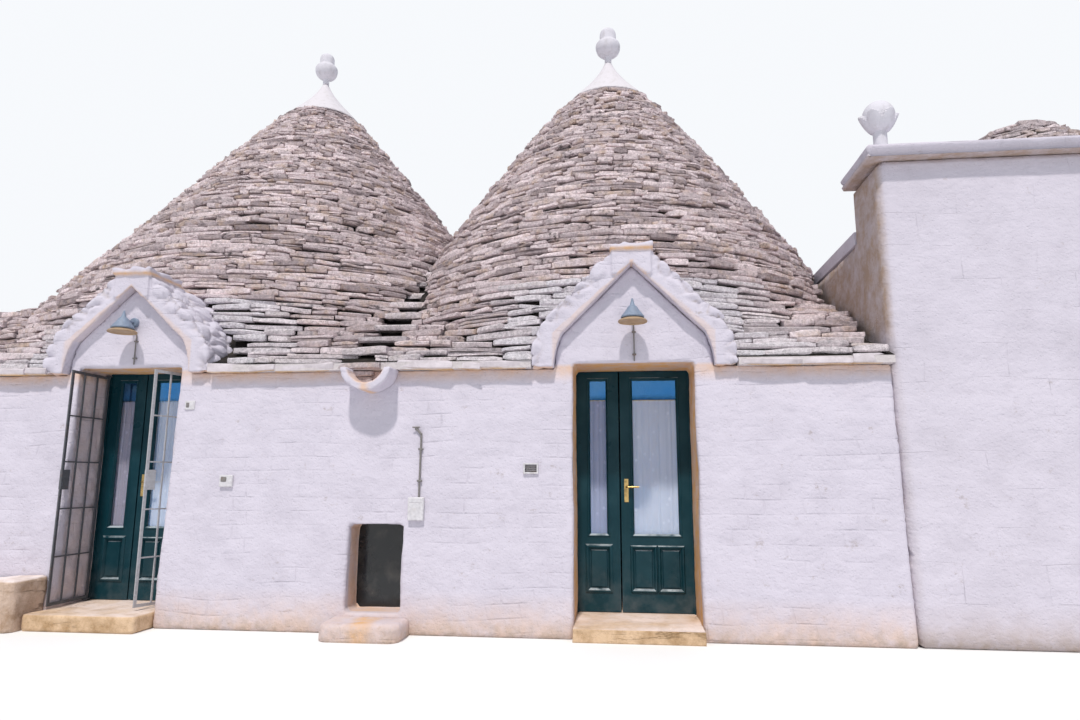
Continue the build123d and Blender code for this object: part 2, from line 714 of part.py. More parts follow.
def grille_leaf(label, hinge_x, side, open_deg):
    """One leaf of flat bars and rods, turned about its hinge; side is 1 on the left jamb and -1 on the right."""
    far = side * grille_leaf_w
    near = -side * grille_bar / 2
    lo = min(near, far)
    hi = max(near, far)
    with BuildPart() as leaf:
        for x in (near, far - side * grille_bar):
            a = min(x, x + side * grille_bar)
            span_box(a, a + grille_bar, -grille_t / 2, grille_t / 2, grille_z0, grille_z1)
        for z in (grille_z0, grille_z1 - grille_bar):
            span_box(lo, hi, -grille_t / 2, grille_t / 2, z, z + grille_bar)
        step = (grille_z1 - grille_z0) / (grille_cross_bars + 1)
        for i in range(grille_cross_bars):
            z = grille_z0 + step * (i + 1)
            span_box(lo, hi, -grille_t / 2, grille_t / 2, z - grille_rod / 2, z + grille_rod / 2)
        for i in range(grille_rods):
            rod_x = near + (far - near) * (i + 1) / (grille_rods + 1)
            span_box(rod_x - grille_rod / 2, rod_x + grille_rod / 2, -grille_rod / 2, grille_rod / 2, grille_z0,
                     grille_z1)
        lock_x = far - side * lock_box_w
        span_box(min(far, lock_x), max(far, lock_x), -lock_box_t / 2, lock_box_t / 2,
                 lock_box_z + left_sill_z - lock_box_h / 2, lock_box_z + left_sill_z + lock_box_h / 2)
        for z, end in ((grille_z0, Align.MAX), (grille_z1, Align.MIN)):
            with Locations((0, 0, z)):
                Cylinder(grille_pin_r, hinge_play + pintle_t, align=(Align.CENTER, Align.CENTER, end))
    turned = Location((hinge_x, grille_y, 0), (0, 0, -side * open_deg)) * leaf.part
    turned.label = label
    export_step(turned, "parts/" + label + ".step")


grille_left_x = left_door_x - left_door_w / 2 + grille_gap
grille_right_x = left_door_x + left_door_w / 2 - grille_gap
grille_leaf("grille_left", grille_left_x, 1, left_grille_open)
grille_leaf("grille_right", grille_right_x, -1, right_grille_open)

with BuildPart() as grille_hinges:
    for hinge_x, wall_x in ((grille_left_x, left_door_x - left_door_w / 2), (grille_right_x,
                                                                             left_door_x + left_door_w / 2)):
        reach = hinge_x + (hinge_x - wall_x)
        for z in (grille_z0 - hinge_play - pintle_t, grille_z1 + hinge_play):
            span_box(min(wall_x, reach), max(wall_x, reach), grille_y - grille_bar, grille_y + grille_bar, z,
                     z + pintle_t)
            with Locations((hinge_x, grille_y, z)):
                Cylinder(grille_pin_r + pin_fit, pintle_t, align=(Align.CENTER, Align.CENTER, Align.MIN),
                         mode=Mode.SUBTRACT)
keep(grille_hinges, "grille_hinges")


# Lamps on the gable faces: a wall plate, an arm and a dished metal shade
def lamp(x, z):
    """One lamp, with its shade hanging open side down."""
    with Locations(Plane((x, -lamp_plate_t / 2, z + lamp_shade_h), z_dir=(0, 1, 0))):
        Cylinder(lamp_plate_r, lamp_plate_t)
    with Locations(Plane((x, -lamp_out / 2, z + lamp_shade_h), z_dir=(0, 1, 0))):
        Cylinder(lamp_arm_r, lamp_out)
    with Locations((x, -lamp_out, z + lamp_shade_h / 2)):
        Cone(lamp_shade_r, lamp_neck_r, lamp_shade_h)


with BuildPart() as gable_lamps:
    lamp(right_door_x, lamp_z)
    lamp(left_door_x, lamp_z)
    for x in (right_door_x, left_door_x):
        with Locations((x, -lamp_out, lamp_z + lamp_shade_h / 2 - 2 * lamp_shade_t)):
            Cone(lamp_shade_r - 2 * lamp_shade_t, lamp_neck_r - 2 * lamp_shade_t, lamp_shade_h, mode=Mode.SUBTRACT)
keep(gable_lamps, "gable_lamps")
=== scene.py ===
"""Trullo house: finishes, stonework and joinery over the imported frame."""
from __future__ import annotations

import json
import logging
import math
from dataclasses import dataclass, field
from enum import Enum
from typing import Callable, Iterable, Sequence

import bmesh
import bpy
import numpy as np
from mathutils import Matrix, Vector
from mathutils.bvhtree import BVHTree


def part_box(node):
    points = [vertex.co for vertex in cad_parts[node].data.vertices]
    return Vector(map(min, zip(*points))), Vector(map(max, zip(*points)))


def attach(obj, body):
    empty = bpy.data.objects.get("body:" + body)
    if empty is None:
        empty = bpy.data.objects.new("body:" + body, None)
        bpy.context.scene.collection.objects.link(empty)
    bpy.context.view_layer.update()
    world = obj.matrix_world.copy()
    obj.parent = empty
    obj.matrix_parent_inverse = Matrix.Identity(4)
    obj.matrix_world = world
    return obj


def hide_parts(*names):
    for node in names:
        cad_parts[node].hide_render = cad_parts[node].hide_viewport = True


log = logging.getLogger("trullo")

HOUSE = "house"
Colour = tuple[float, float, float]
Point = tuple[float, float, float]
Tone = tuple[float, float, float, float]
PLAIN_TONE: Tone = (0.5, 0.0, 0.0, 0.0)
EAVE_FOOT = 2.14  # top of the walls, under the eave slabs
EAVE_TOP = 2.20
FRAME_IN_REVEAL = 0.08  # how much of a door frame's width stands in its rebate
MIX_A, MIX_B, MIXED = 6, 7, 2  # colour sockets of Blender's mix node


class Side(Enum):
    """The two cells of the house."""

    LEFT = "left"
    RIGHT = "right"


class Leaf(Enum):
    """The two unequal leaves of a glazed door."""

    SMALL = "small"
    LARGE = "large"


# Shader graphs


class Graph:
    """A small builder for one procedural material."""

    def __init__(self, name: str) -> None:
        """Start an empty material.

        Args:
            name: the material's name.
        """
        self.material = bpy.data.materials.new(name)
        self.material.use_nodes = True
        self.nodes = self.material.node_tree.nodes
        self.links = self.material.node_tree.links
        self.shader = self.nodes["Principled BSDF"]

    def node(self, kind: str, **values: object) -> bpy.types.Node:
        """Add a node and set its plain properties.

        Args:
            kind: Blender's node type.
            **values: properties of the node.

        Returns:
            The new node.
        """
        made = self.nodes.new(kind)
        for key, value in values.items():
            setattr(made, key, value)
        return made

    def feed(self, socket: bpy.types.NodeSocket, value: object) -> None:
        """Link a socket to another one, or set its value.

        Args:
            socket: the input to fill.
            value: an output socket or a plain value.
        """
        if isinstance(value, bpy.types.NodeSocket):
            self.links.new(value, socket)
        elif isinstance(value, tuple) and len(value) == 3 and socket.type == "RGBA":
            socket.default_value = (*value, 1.0)
        else:
            socket.default_value = value

    def place(self) -> bpy.types.NodeSocket:
        """Position on the object, in metres."""
        return self.node("ShaderNodeTexCoord").outputs["Object"]

    def stretch(self, vector: bpy.types.NodeSocket, scale: Point) -> bpy.types.NodeSocket:
        """Scale a position along its axes.

        Args:
            vector: the position.
            scale: one factor for each axis.

        Returns:
            The scaled position.
        """
        mapping = self.node("ShaderNodeMapping")
        self.feed(mapping.inputs["Vector"], vector)
        mapping.inputs["Scale"].default_value = scale
        return mapping.outputs["Vector"]

    def noise(self, scale: float, detail: float = 4.0, rough: float = 0.55,
              vector: bpy.types.NodeSocket | None = None) -> bpy.types.NodeSocket:
        """Noise between 0 and 1.

        Args:
            scale: features for each metre.
            detail: octaves.
            rough: strength of the finer octaves.
            vector: the position, or none for the object's own.

        Returns:
            The noise value.
        """
        tex = self.node("ShaderNodeTexNoise")
        tex.inputs["Scale"].default_value = scale
        tex.inputs["Detail"].default_value = detail
        tex.inputs["Roughness"].default_value = rough
        self.feed(tex.inputs["Vector"], vector or self.place())
        return tex.outputs["Fac"]

    def cells(self, scale: float, vector: bpy.types.NodeSocket | None = None) -> bpy.types.NodeSocket:
        """Distance to the nearest of scattered points.

        Args:
            scale: cells for each metre.
            vector: the position, or none for the object's own.

        Returns:
            The distance.
        """
        tex = self.node("ShaderNodeTexVoronoi")
        tex.inputs["Scale"].default_value = scale
        self.feed(tex.inputs["Vector"], vector or self.place())
        return tex.outputs["Distance"]

    def attribute(self, name: str) -> bpy.types.Node:
        """The node that reads a mesh attribute by name."""
        return self.node("ShaderNodeAttribute", attribute_name=name)

    def channels(self, colour: bpy.types.NodeSocket) -> Sequence[bpy.types.NodeSocket]:
        """Split a colour.

        Args:
            colour: the colour.

        Returns:
            Its red, green and blue.
        """
        split = self.node("ShaderNodeSeparateColor")
        self.feed(split.inputs[0], colour)
        return tuple(split.outputs)

    def upright(self, vector: bpy.types.NodeSocket) -> bpy.types.NodeSocket:
        """The Z of a vector.

        Args:
            vector: a position or a normal.

        Returns:
            Its Z.
        """
        split = self.node("ShaderNodeSeparateXYZ")
        self.feed(split.inputs[0], vector)
        return split.outputs["Z"]

    def facing(self, kind: str = "Normal") -> bpy.types.NodeSocket:
        """How far a face looks up, by its smooth or its true normal."""
        return self.upright(self.node("ShaderNodeNewGeometry").outputs[kind])

    def span(self, value: bpy.types.NodeSocket, low: float, high: float, to_low: float = 0.0,
             to_high: float = 1.0) -> bpy.types.NodeSocket:
        """Map a stretch of values to another one, clamped.

        Args:
            value: the input.
            low: input that gives to_low.
            high: input that gives to_high.
            to_low: first end of the result.
            to_high: second end of the result.

        Returns:
            The mapped value.
        """
        made = self.node("ShaderNodeMapRange")
        self.feed(made.inputs["Value"], value)
        for name, number in (("From Min", low), ("From Max", high), ("To Min", to_low), ("To Max", to_high)):
            made.inputs[name].default_value = number
        return made.outputs["Result"]

    def maths(self, operation: str, a: object, b: object = 0.0) -> bpy.types.NodeSocket:
        """One step of arithmetic.

        Args:
            operation: Blender's name of it.
            a: first value or socket.
            b: second value or socket.

        Returns:
            The result.
        """
        made = self.node("ShaderNodeMath", operation=operation)
        self.feed(made.inputs[0], a)
        self.feed(made.inputs[1], b)
        return made.outputs[0]

    def mix(self, share: object, a: object, b: object, blend: str = "MIX") -> bpy.types.NodeSocket:
        """Mix two colours.

        Args:
            share: 0 gives a, 1 gives b.
            a: first colour.
            b: second colour.
            blend: how they are mixed.

        Returns:
            The mixed colour.
        """
        made = self.node("ShaderNodeMix", data_type="RGBA", blend_type=blend)
        self.feed(made.inputs[0], share)
        self.feed(made.inputs[MIX_A], a)
        self.feed(made.inputs[MIX_B], b)
        return made.outputs[MIXED]

    def relief(self, height: bpy.types.NodeSocket, depth: float, strength: float = 1.0,
               under: bpy.types.NodeSocket | None = None) -> bpy.types.NodeSocket:
        """Bump from a height.

        Args:
            height: value from 0 to 1.
            depth: metres between the lowest and the highest.
            strength: share of the effect.
            under: a bump that this one adds to.

        Returns:
            The bent normal.
        """
        made = self.node("ShaderNodeBump")
        made.inputs["Strength"].default_value = strength
        made.inputs["Distance"].default_value = depth
        self.feed(made.inputs["Height"], height)
        if under is not None:
            self.feed(made.inputs["Normal"], under)
        return made.outputs["Normal"]

    def surface(self, colour: object, roughness: object, normal: object = None, metallic: float = 0.0,
                specular: float = 0.5) -> bpy.types.Material:
        """Fill the shader and give back the material.

        Args:
            colour: base colour.
            roughness: value or socket.
            normal: bent normal, if any.
            metallic: 1 for bare metal.
            specular: level of the mirror-like part.

        Returns:
            The finished material.
        """
        self.feed(self.shader.inputs["Base Color"], colour)
        self.feed(self.shader.inputs["Roughness"], roughness)
        self.shader.inputs["Metallic"].default_value = metallic
        self.shader.inputs["Specular IOR Level"].default_value = specular
        if normal is not None:
            self.feed(self.shader.inputs["Normal"], normal)
        return self.material


# Finishes


@dataclass(frozen=True)
class Limewash:
    """Many coats of lime on rough masonry, stained at the eave, the foot and the reveals, with painted shade in the
    hollows of its lumps.
    """

    name: str = "limewash"
    white: Colour = (0.63, 0.59, 0.675)
    cool: Colour = (0.50, 0.465, 0.54)
    bare: Colour = (0.36, 0.30, 0.285)
    ochre: Colour = (0.74, 0.43, 0.19)
    grime: Colour = (0.36, 0.28, 0.21)
    block: float = 0.26
    course: float = 0.115
    joint: float = 0.012

    def build(self) -> bpy.types.Material:
        """Mix the finish, which reads the mesh's stains and its course map.

        Returns:
            Its material.
        """
        g = Graph(self.name)
        ochre, grime, _ = g.channels(g.attribute("stains").outputs["Color"])
        uv = g.node("ShaderNodeUVMap", uv_map="courses")
        brick = g.node("ShaderNodeTexBrick", offset=0.5, squash=1.0)
        g.feed(brick.inputs["Vector"], uv.outputs["UV"])
        for name, value in (("Scale", 1.0), ("Mortar Size", self.joint), ("Mortar Smooth", 1.0),
                            ("Brick Width", self.block), ("Row Height", self.course)):
            brick.inputs[name].default_value = value
        broken = g.span(g.noise(2.6, 4.0), 0.47, 0.66)
        joints = g.maths("MULTIPLY", brick.outputs["Fac"], broken)
        flat = g.stretch(g.place(), (1.0, 1.0, 1.3))
        lumps = g.noise(4.6, 8.0, 0.60, flat)
        brush = g.noise(26.0, 6.0, 0.66, flat)
        pits = g.span(g.cells(34.0), 0.0, 0.36)
        colour = g.mix(g.span(g.noise(2.4, 6.0, 0.62), 0.42, 0.72, 0.0, 0.45), self.white, self.cool)
        # painted shade: where the lumps that also raise the bump are low, the colour is darkened toward the cool tone
        colour = g.mix(g.span(lumps, 0.30, 0.44, 0.35, 0.0), colour, self.cool)
        colour = g.mix(g.maths("MULTIPLY", joints, 0.22), colour, self.cool)
        flaked = g.span(g.noise(6.0, 10.0, 0.80, flat), 0.60, 0.68, 0.0, 0.66)
        colour = g.mix(flaked, colour, self.bare)
        torn = g.span(g.noise(6.5, 7.0, 0.68), 0.30, 0.60, 0.35, 1.0)
        colour = g.mix(g.maths("MULTIPLY", ochre, torn), colour, self.ochre)
        colour = g.mix(g.maths("MULTIPLY", grime, g.span(g.noise(14.0, 6.0, 0.7), 0.35, 0.7)), colour, self.grime)
        height = g.maths("ADD", lumps, g.maths("MULTIPLY", brush, 0.20))
        height = g.maths("ADD", height, g.maths("MULTIPLY", pits, 0.10))
        height = g.maths("SUBTRACT", height, g.maths("MULTIPLY", joints, 0.16))
        return g.surface(colour, 0.92, g.relief(height, 0.030, 0.8), specular=0.2)


@dataclass(frozen=True)
class DrySlabs:
    """Thin limestone slabs, weathered to grey, each of its own tone, some still under old lime."""

    name: str = "dry_slabs"
    pale: Colour = (0.92, 0.785, 0.81)
    grey: Colour = (0.39, 0.32, 0.335)
    warm: Colour = (0.62, 0.44, 0.31)
    lichen: Colour = (0.060, 0.050, 0.054)
    lime: Colour = (0.83, 0.785, 0.83)

    def build(self) -> bpy.types.Material:
        """Mix the finish. Each slab's tone comes from the mesh.

        Returns:
            Its material.
        """
        g = Graph(self.name)
        mark = g.attribute("tone")
        pale, warm, lichen = g.channels(mark.outputs["Color"])
        colour = g.mix(pale, self.grey, self.pale)
        colour = g.mix(g.maths("MULTIPLY", warm, g.span(g.noise(9.0, 5.0), 0.45, 0.7)), colour, self.warm)
        patches = g.span(g.noise(12.0, 9.0, 0.74), 0.53, 0.64)
        colour = g.mix(g.maths("MULTIPLY", patches, lichen), colour, self.lichen)
        coat = g.maths("MULTIPLY", mark.outputs["Alpha"], g.span(g.noise(9.0, 7.0, 0.7), 0.32, 0.50, 0.55, 1.0))
        colour = g.mix(coat, colour, self.lime)
        speck = g.span(g.noise(38.0, 6.0, 0.72), 0.34, 0.62, 0.66, 1.14)
        colour = g.mix(1.0, colour, speck, "MULTIPLY")
        grain = g.noise(34.0, 8.0, 0.74, g.stretch(g.place(), (1.0, 1.0, 2.6)))
        normal = g.relief(g.noise(12.0, 7.0, 0.68), 0.05, 0.8)
        return g.surface(colour, 0.94, g.relief(grain, 0.016, 0.9, normal), specular=0.15)


@dataclass(frozen=True)
class LimedEdge:
    """Lime drawn over the eave stones, with its lower edge gone to ochre."""

    name: str = "limed_edge"
    white: Colour = (0.66, 0.60, 0.64)
    cool: Colour = (0.42, 0.37, 0.385)
    ochre: Colour = (0.56, 0.36, 0.18)

    def build(self) -> bpy.types.Material:
        """Mix the finish. The mesh's tone says where the ochre is.

        Returns:
            Its material.
        """
        g = Graph(self.name)
        _, stained, _ = g.channels(g.attribute("tone").outputs["Color"])
        colour = g.mix(g.span(g.noise(6.0, 7.0, 0.66), 0.42, 0.68, 0.0, 0.8), self.white, self.cool)
        edge = g.maths("MULTIPLY", stained, g.span(g.noise(9.0, 6.0, 0.66), 0.28, 0.55, 0.4, 1.0))
        colour = g.mix(edge, colour, self.ochre)
        height = g.maths("ADD", g.noise(10.0, 6.0, 0.66), g.maths("MULTIPLY", g.noise(50.0, 4.0), 0.25))
        return g.surface(colour, 0.92, g.relief(height, 0.018, 0.9), specular=0.2)


@dataclass(frozen=True)
class DarkCore:
    """Rubble between and under the slabs, coloured near black as painted shade in the gaps, and limed at the eave."""

    name: str = "dark_core"
    # painted shade: both dark tones stand for the shade in the gaps, the dust tone being a slightly lighter shade
    painted_shade: Colour = (0.016, 0.014, 0.014)
    dust: Colour = (0.060, 0.050, 0.044)
    limed: Colour = (0.60, 0.55, 0.56)
    eave_z: float = EAVE_TOP + 0.002

    def build(self) -> bpy.types.Material:
        """Mix the finish.

        Returns:
            Its material.
        """
        g = Graph(self.name)
        # painted shade: near black, varied by noise between two dark tones
        colour = g.mix(g.span(g.noise(9.0, 6.0), 0.4, 0.75), self.painted_shade, self.dust)
        eave = g.span(g.upright(g.place()), self.eave_z - 0.004, self.eave_z, 1.0, 0.0)
        colour = g.mix(eave, colour, self.limed)
        return g.surface(colour, 0.95, g.relief(g.noise(24.0, 6.0), 0.02), specular=0.1)


@dataclass(frozen=True)
class LimePlaster:
    """Smooth white plaster with trowel marks and thin grey weathering."""

    name: str = "lime_plaster"
    white: Colour = (0.66, 0.625, 0.665)
    weathered: Colour = (0.47, 0.44, 0.42)
    amount: float = 0.6

    def build(self) -> bpy.types.Material:
        """Mix the finish.

        Returns:
            Its material.
        """
        g = Graph(self.name)
        streaks = g.noise(7.0, 7.0, 0.66, g.stretch(g.place(), (2.2, 2.2, 0.7)))
        colour = g.mix(g.span(streaks, 0.5, 0.78, 0.0, self.amount), self.white, self.weathered)
        height = g.maths("ADD", g.noise(16.0, 5.0, 0.6), g.maths("MULTIPLY", g.noise(80.0, 3.0), 0.2))
        return g.surface(colour, 0.86, g.relief(height, 0.008, 0.7), specular=0.25)


@dataclass(frozen=True)
class WornStone:
    """Yellowish limestone, paler in patches on its upward faces and stained in its pores."""

    name: str = "worn_stone"
    light: Colour = (0.70, 0.50, 0.33)
    dark: Colour = (0.40, 0.25, 0.13)
    pale: Colour = (0.84, 0.70, 0.64)

    def build(self) -> bpy.types.Material:
        """Mix the finish.

        Returns:
            Its material.
        """
        g = Graph(self.name)
        colour = g.mix(g.span(g.noise(5.0, 9.0, 0.72), 0.42, 0.66), self.light, self.dark)
        beds = g.noise(1.7, 6.0, 0.6, g.stretch(g.place(), (0.7, 0.7, 4.0)))
        cracks = g.maths("MULTIPLY", g.span(beds, 0.482, 0.497), g.span(beds, 0.512, 0.497))
        cracks = g.maths("MULTIPLY", cracks, g.span(g.noise(1.9, 3.0), 0.50, 0.60))
        colour = g.mix(g.maths("MULTIPLY", cracks, 0.6), colour, self.dark)
        # upward faces are paler in noise patches
        paler_tops = g.maths("MULTIPLY", g.span(g.facing(), 0.6, 0.95), g.span(g.noise(3.2, 5.0), 0.30, 0.62))
        colour = g.mix(paler_tops, colour, self.pale)
        pores = g.span(g.cells(60.0), 0.0, 0.25)
        height = g.maths("ADD", g.noise(13.0, 6.0, 0.62), g.maths("MULTIPLY", pores, 0.25))
        height = g.maths("SUBTRACT", height, g.maths("MULTIPLY", cracks, 0.5))
        return g.surface(colour, g.span(g.noise(4.0), 0.3, 0.7, 0.62, 0.85), g.relief(height, 0.022, 0.8),
                         specular=0.3)


@dataclass(frozen=True)
class DoorPaint:
    """Old gloss paint on joinery, brushed along the grain, with pale dust on its upward ledges that also serves as
    painted highlight, and dust at the foot.
    """

    name: str = "door_paint"
    coat: Colour = (0.004, 0.035, 0.049)
    faded: Colour = (0.014, 0.056, 0.074)
    # pale dust colour, also used as painted highlight on the upward ledges
    dust: Colour = (0.46, 0.52, 0.56)
    scuffed: Colour = (0.10, 0.12, 0.13)

    def build(self) -> bpy.types.Material:
        """Mix the finish.

        Returns:
            Its material.
        """
        g = Graph(self.name)
        grain = g.noise(26.0, 6.0, 0.6, g.stretch(g.place(), (6.0, 6.0, 0.45)))
        colour = g.mix(g.span(g.noise(4.0, 5.0), 0.4, 0.75), self.coat, self.faded)
        # upward-facing ledges turn pale: partly real dust, partly a painted highlight where the ledges catch the light
        ledge = g.maths("MULTIPLY", g.span(g.facing("True Normal"), 0.30, 0.65), g.span(g.noise(11.0, 5.0), 0.3, 0.55))
        colour = g.mix(g.maths("MULTIPLY", ledge, 0.85), colour, self.dust)
        low = g.span(g.upright(g.place()), 0.12, 0.62, 1.0, 0.0)
        foot = g.maths("MULTIPLY", low, g.span(g.noise(7.0, 7.0), 0.42, 0.7))
        colour = g.mix(g.maths("MULTIPLY", foot, 0.6), colour, self.scuffed)
        rough = g.span(g.noise(6.0, 5.0), 0.3, 0.75, 0.26, 0.46)
        return g.surface(colour, rough, g.relief(grain, 0.0012, 0.5), specular=0.2)


@dataclass(frozen=True)
class PaneGlass:
    """Old window glass with a slight wave, drawn as blue metal: its blue is a painted reflection of the sky, stronger
    above the curtains.
    """

    name: str = "pane_glass"
    # painted reflection: two blues that stand for the sky seen in the glass
    sky_reflection: Colour = (0.10, 0.42, 0.90)
    pale_sky_reflection: Colour = (0.22, 0.52, 0.90)
    cover: float = 0.10
    bare_cover: float = 0.50

    def build(self) -> bpy.types.Material:
        """Mix the finish.

        Returns:
            Its material.
        """
        g = Graph(self.name)
        tops = [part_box(f"{side.value}_door_{leaf.value}_curtain")[1].z for side in Side for leaf in Leaf]
        # painted reflection: the pane is more opaque above the curtains, so more of its painted blue shows there
        cover = g.span(g.upright(g.place()), min(tops), max(tops) + 0.03, self.cover, self.bare_cover)
        g.feed(g.shader.inputs["Alpha"], cover)
        painted_reflection = g.mix(g.span(g.noise(4.0, 6.0), 0.35, 0.75), self.sky_reflection, self.pale_sky_reflection)
        dust = g.span(g.noise(5.0, 5.0), 0.45, 0.8, 0.03, 0.12)
        return g.surface(painted_reflection, dust, g.relief(g.noise(2.2, 2.0), 0.004, 0.35), metallic=1.0)


@dataclass(frozen=True)
class Lace:
    """Thin gathered curtain cloth with a fine net and small woven sprigs."""

    name: str
    thread: Colour
    shade: Colour

    def build(self) -> bpy.types.Material:
        """Mix the finish.

        Returns:
            Its material.
        """
        g = Graph(self.name)
        net = g.node("ShaderNodeTexWave", wave_type="BANDS", bands_direction="Z")
        net.inputs["Scale"].default_value = 90.0
        g.feed(net.inputs["Vector"], g.place())
        sprigs = g.span(g.cells(13.0, g.stretch(g.place(), (1.0, 0.2, 0.8))), 0.10, 0.22)
        colour = g.mix(g.maths("MULTIPLY", sprigs, 0.40), self.thread, self.shade)
        colour = g.mix(g.span(g.noise(5.0, 4.0), 0.4, 0.7, 0.0, 0.35), colour, self.shade)
        g.shader.inputs["Sheen Weight"].default_value = 0.25
        g.feed(g.shader.inputs["Alpha"], g.span(sprigs, 0.0, 1.0, 0.98, 0.90))
        return g.surface(colour, 0.9, g.relief(net.outputs["Fac"], 0.0006, 0.4), specular=0.1)


@dataclass(frozen=True)
class PaintedIron:
    """Iron bars under old paint, with rust at the joints and the foot."""

    name: str
    paint: Colour
    rust: Colour = (0.20, 0.075, 0.03)
    rusted: float = 0.5

    def build(self) -> bpy.types.Material:
        """Mix the finish.

        Returns:
            Its material.
        """
        g = Graph(self.name)
        spread = g.maths("MULTIPLY", g.span(g.noise(12.0, 7.0, 0.7), 0.56, 0.74), self.rusted)
        colour = g.mix(spread, self.paint, self.rust)
        colour = g.mix(1.0, colour, g.span(g.noise(40.0, 3.0), 0.3, 0.7, 0.85, 1.12), "MULTIPLY")
        rough = g.span(g.noise(20.0, 4.0), 0.3, 0.7, 0.42, 0.66)
        return g.surface(colour, rough, g.relief(g.noise(60.0, 4.0), 0.0015, 0.6))


@dataclass(frozen=True)
class WornBrass:
    """Brass that hands have kept bright, dull in its corners."""

    name: str = "worn_brass"
    bright: Colour = (0.72, 0.50, 0.20)
    dull: Colour = (0.30, 0.20, 0.09)

    def build(self) -> bpy.types.Material:
        """Mix the finish.

        Returns:
            Its material.
        """
        g = Graph(self.name)
        colour = g.mix(g.span(g.noise(30.0, 5.0), 0.45, 0.75), self.bright, self.dull)
        return g.surface(colour, g.span(g.noise(45.0, 3.0), 0.3, 0.7, 0.22, 0.42), metallic=1.0)


@dataclass(frozen=True)
class NichePane:
    """Dark pane at the back of the niche: its near-black colour is painted shade for the recess behind it."""

    name: str = "niche_pane"
    # painted shade: near black, standing for the shade inside the niche
    dark: Colour = (0.012, 0.014, 0.016)
    dust: Colour = (0.07, 0.065, 0.06)

    def build(self) -> bpy.types.Material:
        """Mix the finish.

        Returns:
            Its material.
        """
        g = Graph(self.name)
        colour = g.mix(g.span(g.noise(6.0, 6.0), 0.5, 0.8), self.dark, self.dust)
        return g.surface(colour, g.span(g.noise(9.0, 5.0), 0.4, 0.8, 0.10, 0.35))


class Palette:
    """Every finish of the house, made once."""

    def __init__(self) -> None:
        """Build the materials."""
        self.limewash = Limewash().build()
        self.render = Limewash(name="wing_limewash", white=(0.62, 0.58, 0.66), cool=(0.49, 0.455, 0.52),
                               ochre=(0.36, 0.245, 0.16), block=0.6, course=0.28, joint=0.004).build()
        self.slabs = DrySlabs().build()
        self.eave = LimedEdge().build()
        self.core = DarkCore().build()
        self.plaster = LimePlaster().build()
        self.carved = LimePlaster(name="carved_stone", white=(0.66, 0.64, 0.70), weathered=(0.46, 0.43, 0.45),
                                  amount=0.8).build()
        self.worn = WornStone().build()
        self.bench = WornStone(name="bench_stone", light=(0.62, 0.47, 0.38), dark=(0.33, 0.215, 0.14),
                               pale=(0.84, 0.74, 0.72)).build()
        self.paint = DoorPaint().build()
        self.glass = PaneGlass().build()
        self.lace = Lace("lace", (0.92, 0.92, 0.97), (0.70, 0.72, 0.82)).build()
        self.voile = Lace("voile", (0.62, 0.58, 0.68), (0.40, 0.37, 0.47)).build()
        self.dark_iron = PaintedIron("dark_iron", (0.085, 0.088, 0.10)).build()
        self.pale_iron = PaintedIron("pale_iron", (0.42, 0.42, 0.45), rusted=0.35).build()
        self.lamp_metal = PaintedIron("lamp_metal", (0.20, 0.25, 0.34), rusted=0.2).build()
        self.lamp_dish = PaintedIron("lamp_dish", (0.36, 0.245, 0.15), rust=(0.20, 0.11, 0.05), rusted=0.5).build()
        self.rod = PaintedIron("rod_iron", (0.20, 0.185, 0.18), rusted=0.7).build()
        self.fitting = PaintedIron("pale_fitting", (0.62, 0.60, 0.63), rust=(0.40, 0.33, 0.27), rusted=0.5).build()
        self.brass = WornBrass().build()
        self.niche = NichePane().build()


# Meshes


def cell_random(cell: np.ndarray, seed: int) -> np.ndarray:
    """A random value from 0 to 1 for each cell of a lattice.

    Args:
        cell: N rows of three whole numbers.
        seed: picks the pattern.

    Returns:
        N values.
    """
    key = (cell[:, 0] * 73856093) ^ (cell[:, 1] * 19349663) ^ (cell[:, 2] * 83492791) ^ (seed * 2654435761)
    key = (key ^ (key >> 13)) * 1274126177
    return ((key ^ (key >> 16)) & 0xFFFFF) / float(0xFFFFF)


def value_noise(points: np.ndarray, seed: int) -> np.ndarray:
    """Smooth noise between -1 and 1 at many points.

    Args:
        points: N rows of three coordinates, one feature a unit.
        seed: picks the pattern.

    Returns:
        N values.
    """
    base = np.floor(points).astype(np.int64)
    part = points - base
    ease = part * part * (3.0 - 2.0 * part)
    total = np.zeros(len(points))
    for corner in range(8):
        step = np.array([corner & 1, corner >> 1 & 1, corner >> 2 & 1])
        weight = np.prod(np.where(step == 1, ease, 1.0 - ease), axis=1)
        total += cell_random(base + step, seed) * weight
    return total * 2.0 - 1.0


def stone_cells(points: np.ndarray, size: float, seed: int) -> np.ndarray:
    """Rounded stones packed side by side.

    Args:
        points: N rows of three coordinates in metres.
        size: metres between the stones' middles.
        seed: picks the pattern.

    Returns:
        N values, 0 in the joints and up to 1 on the stones.
    """
    scaled = points / size
    base = np.floor(scaled).astype(np.int64)
    nearest = np.full(len(points), 9.0)
    second = np.full(len(points), 9.0)
    for corner in range(27):
        cell = base + (np.array([corner % 3, corner // 3 % 3, corner // 9]) - 1)
        seat = cell + np.stack([cell_random(cell, seed + axis) for axis in range(3)], axis=1)
        away = np.linalg.norm(scaled - seat, axis=1)
        second = np.minimum(second, np.maximum(nearest, away))
        nearest = np.minimum(nearest, away)
    return np.sqrt(np.clip((second - nearest) / 0.55, 0.0, 1.0))


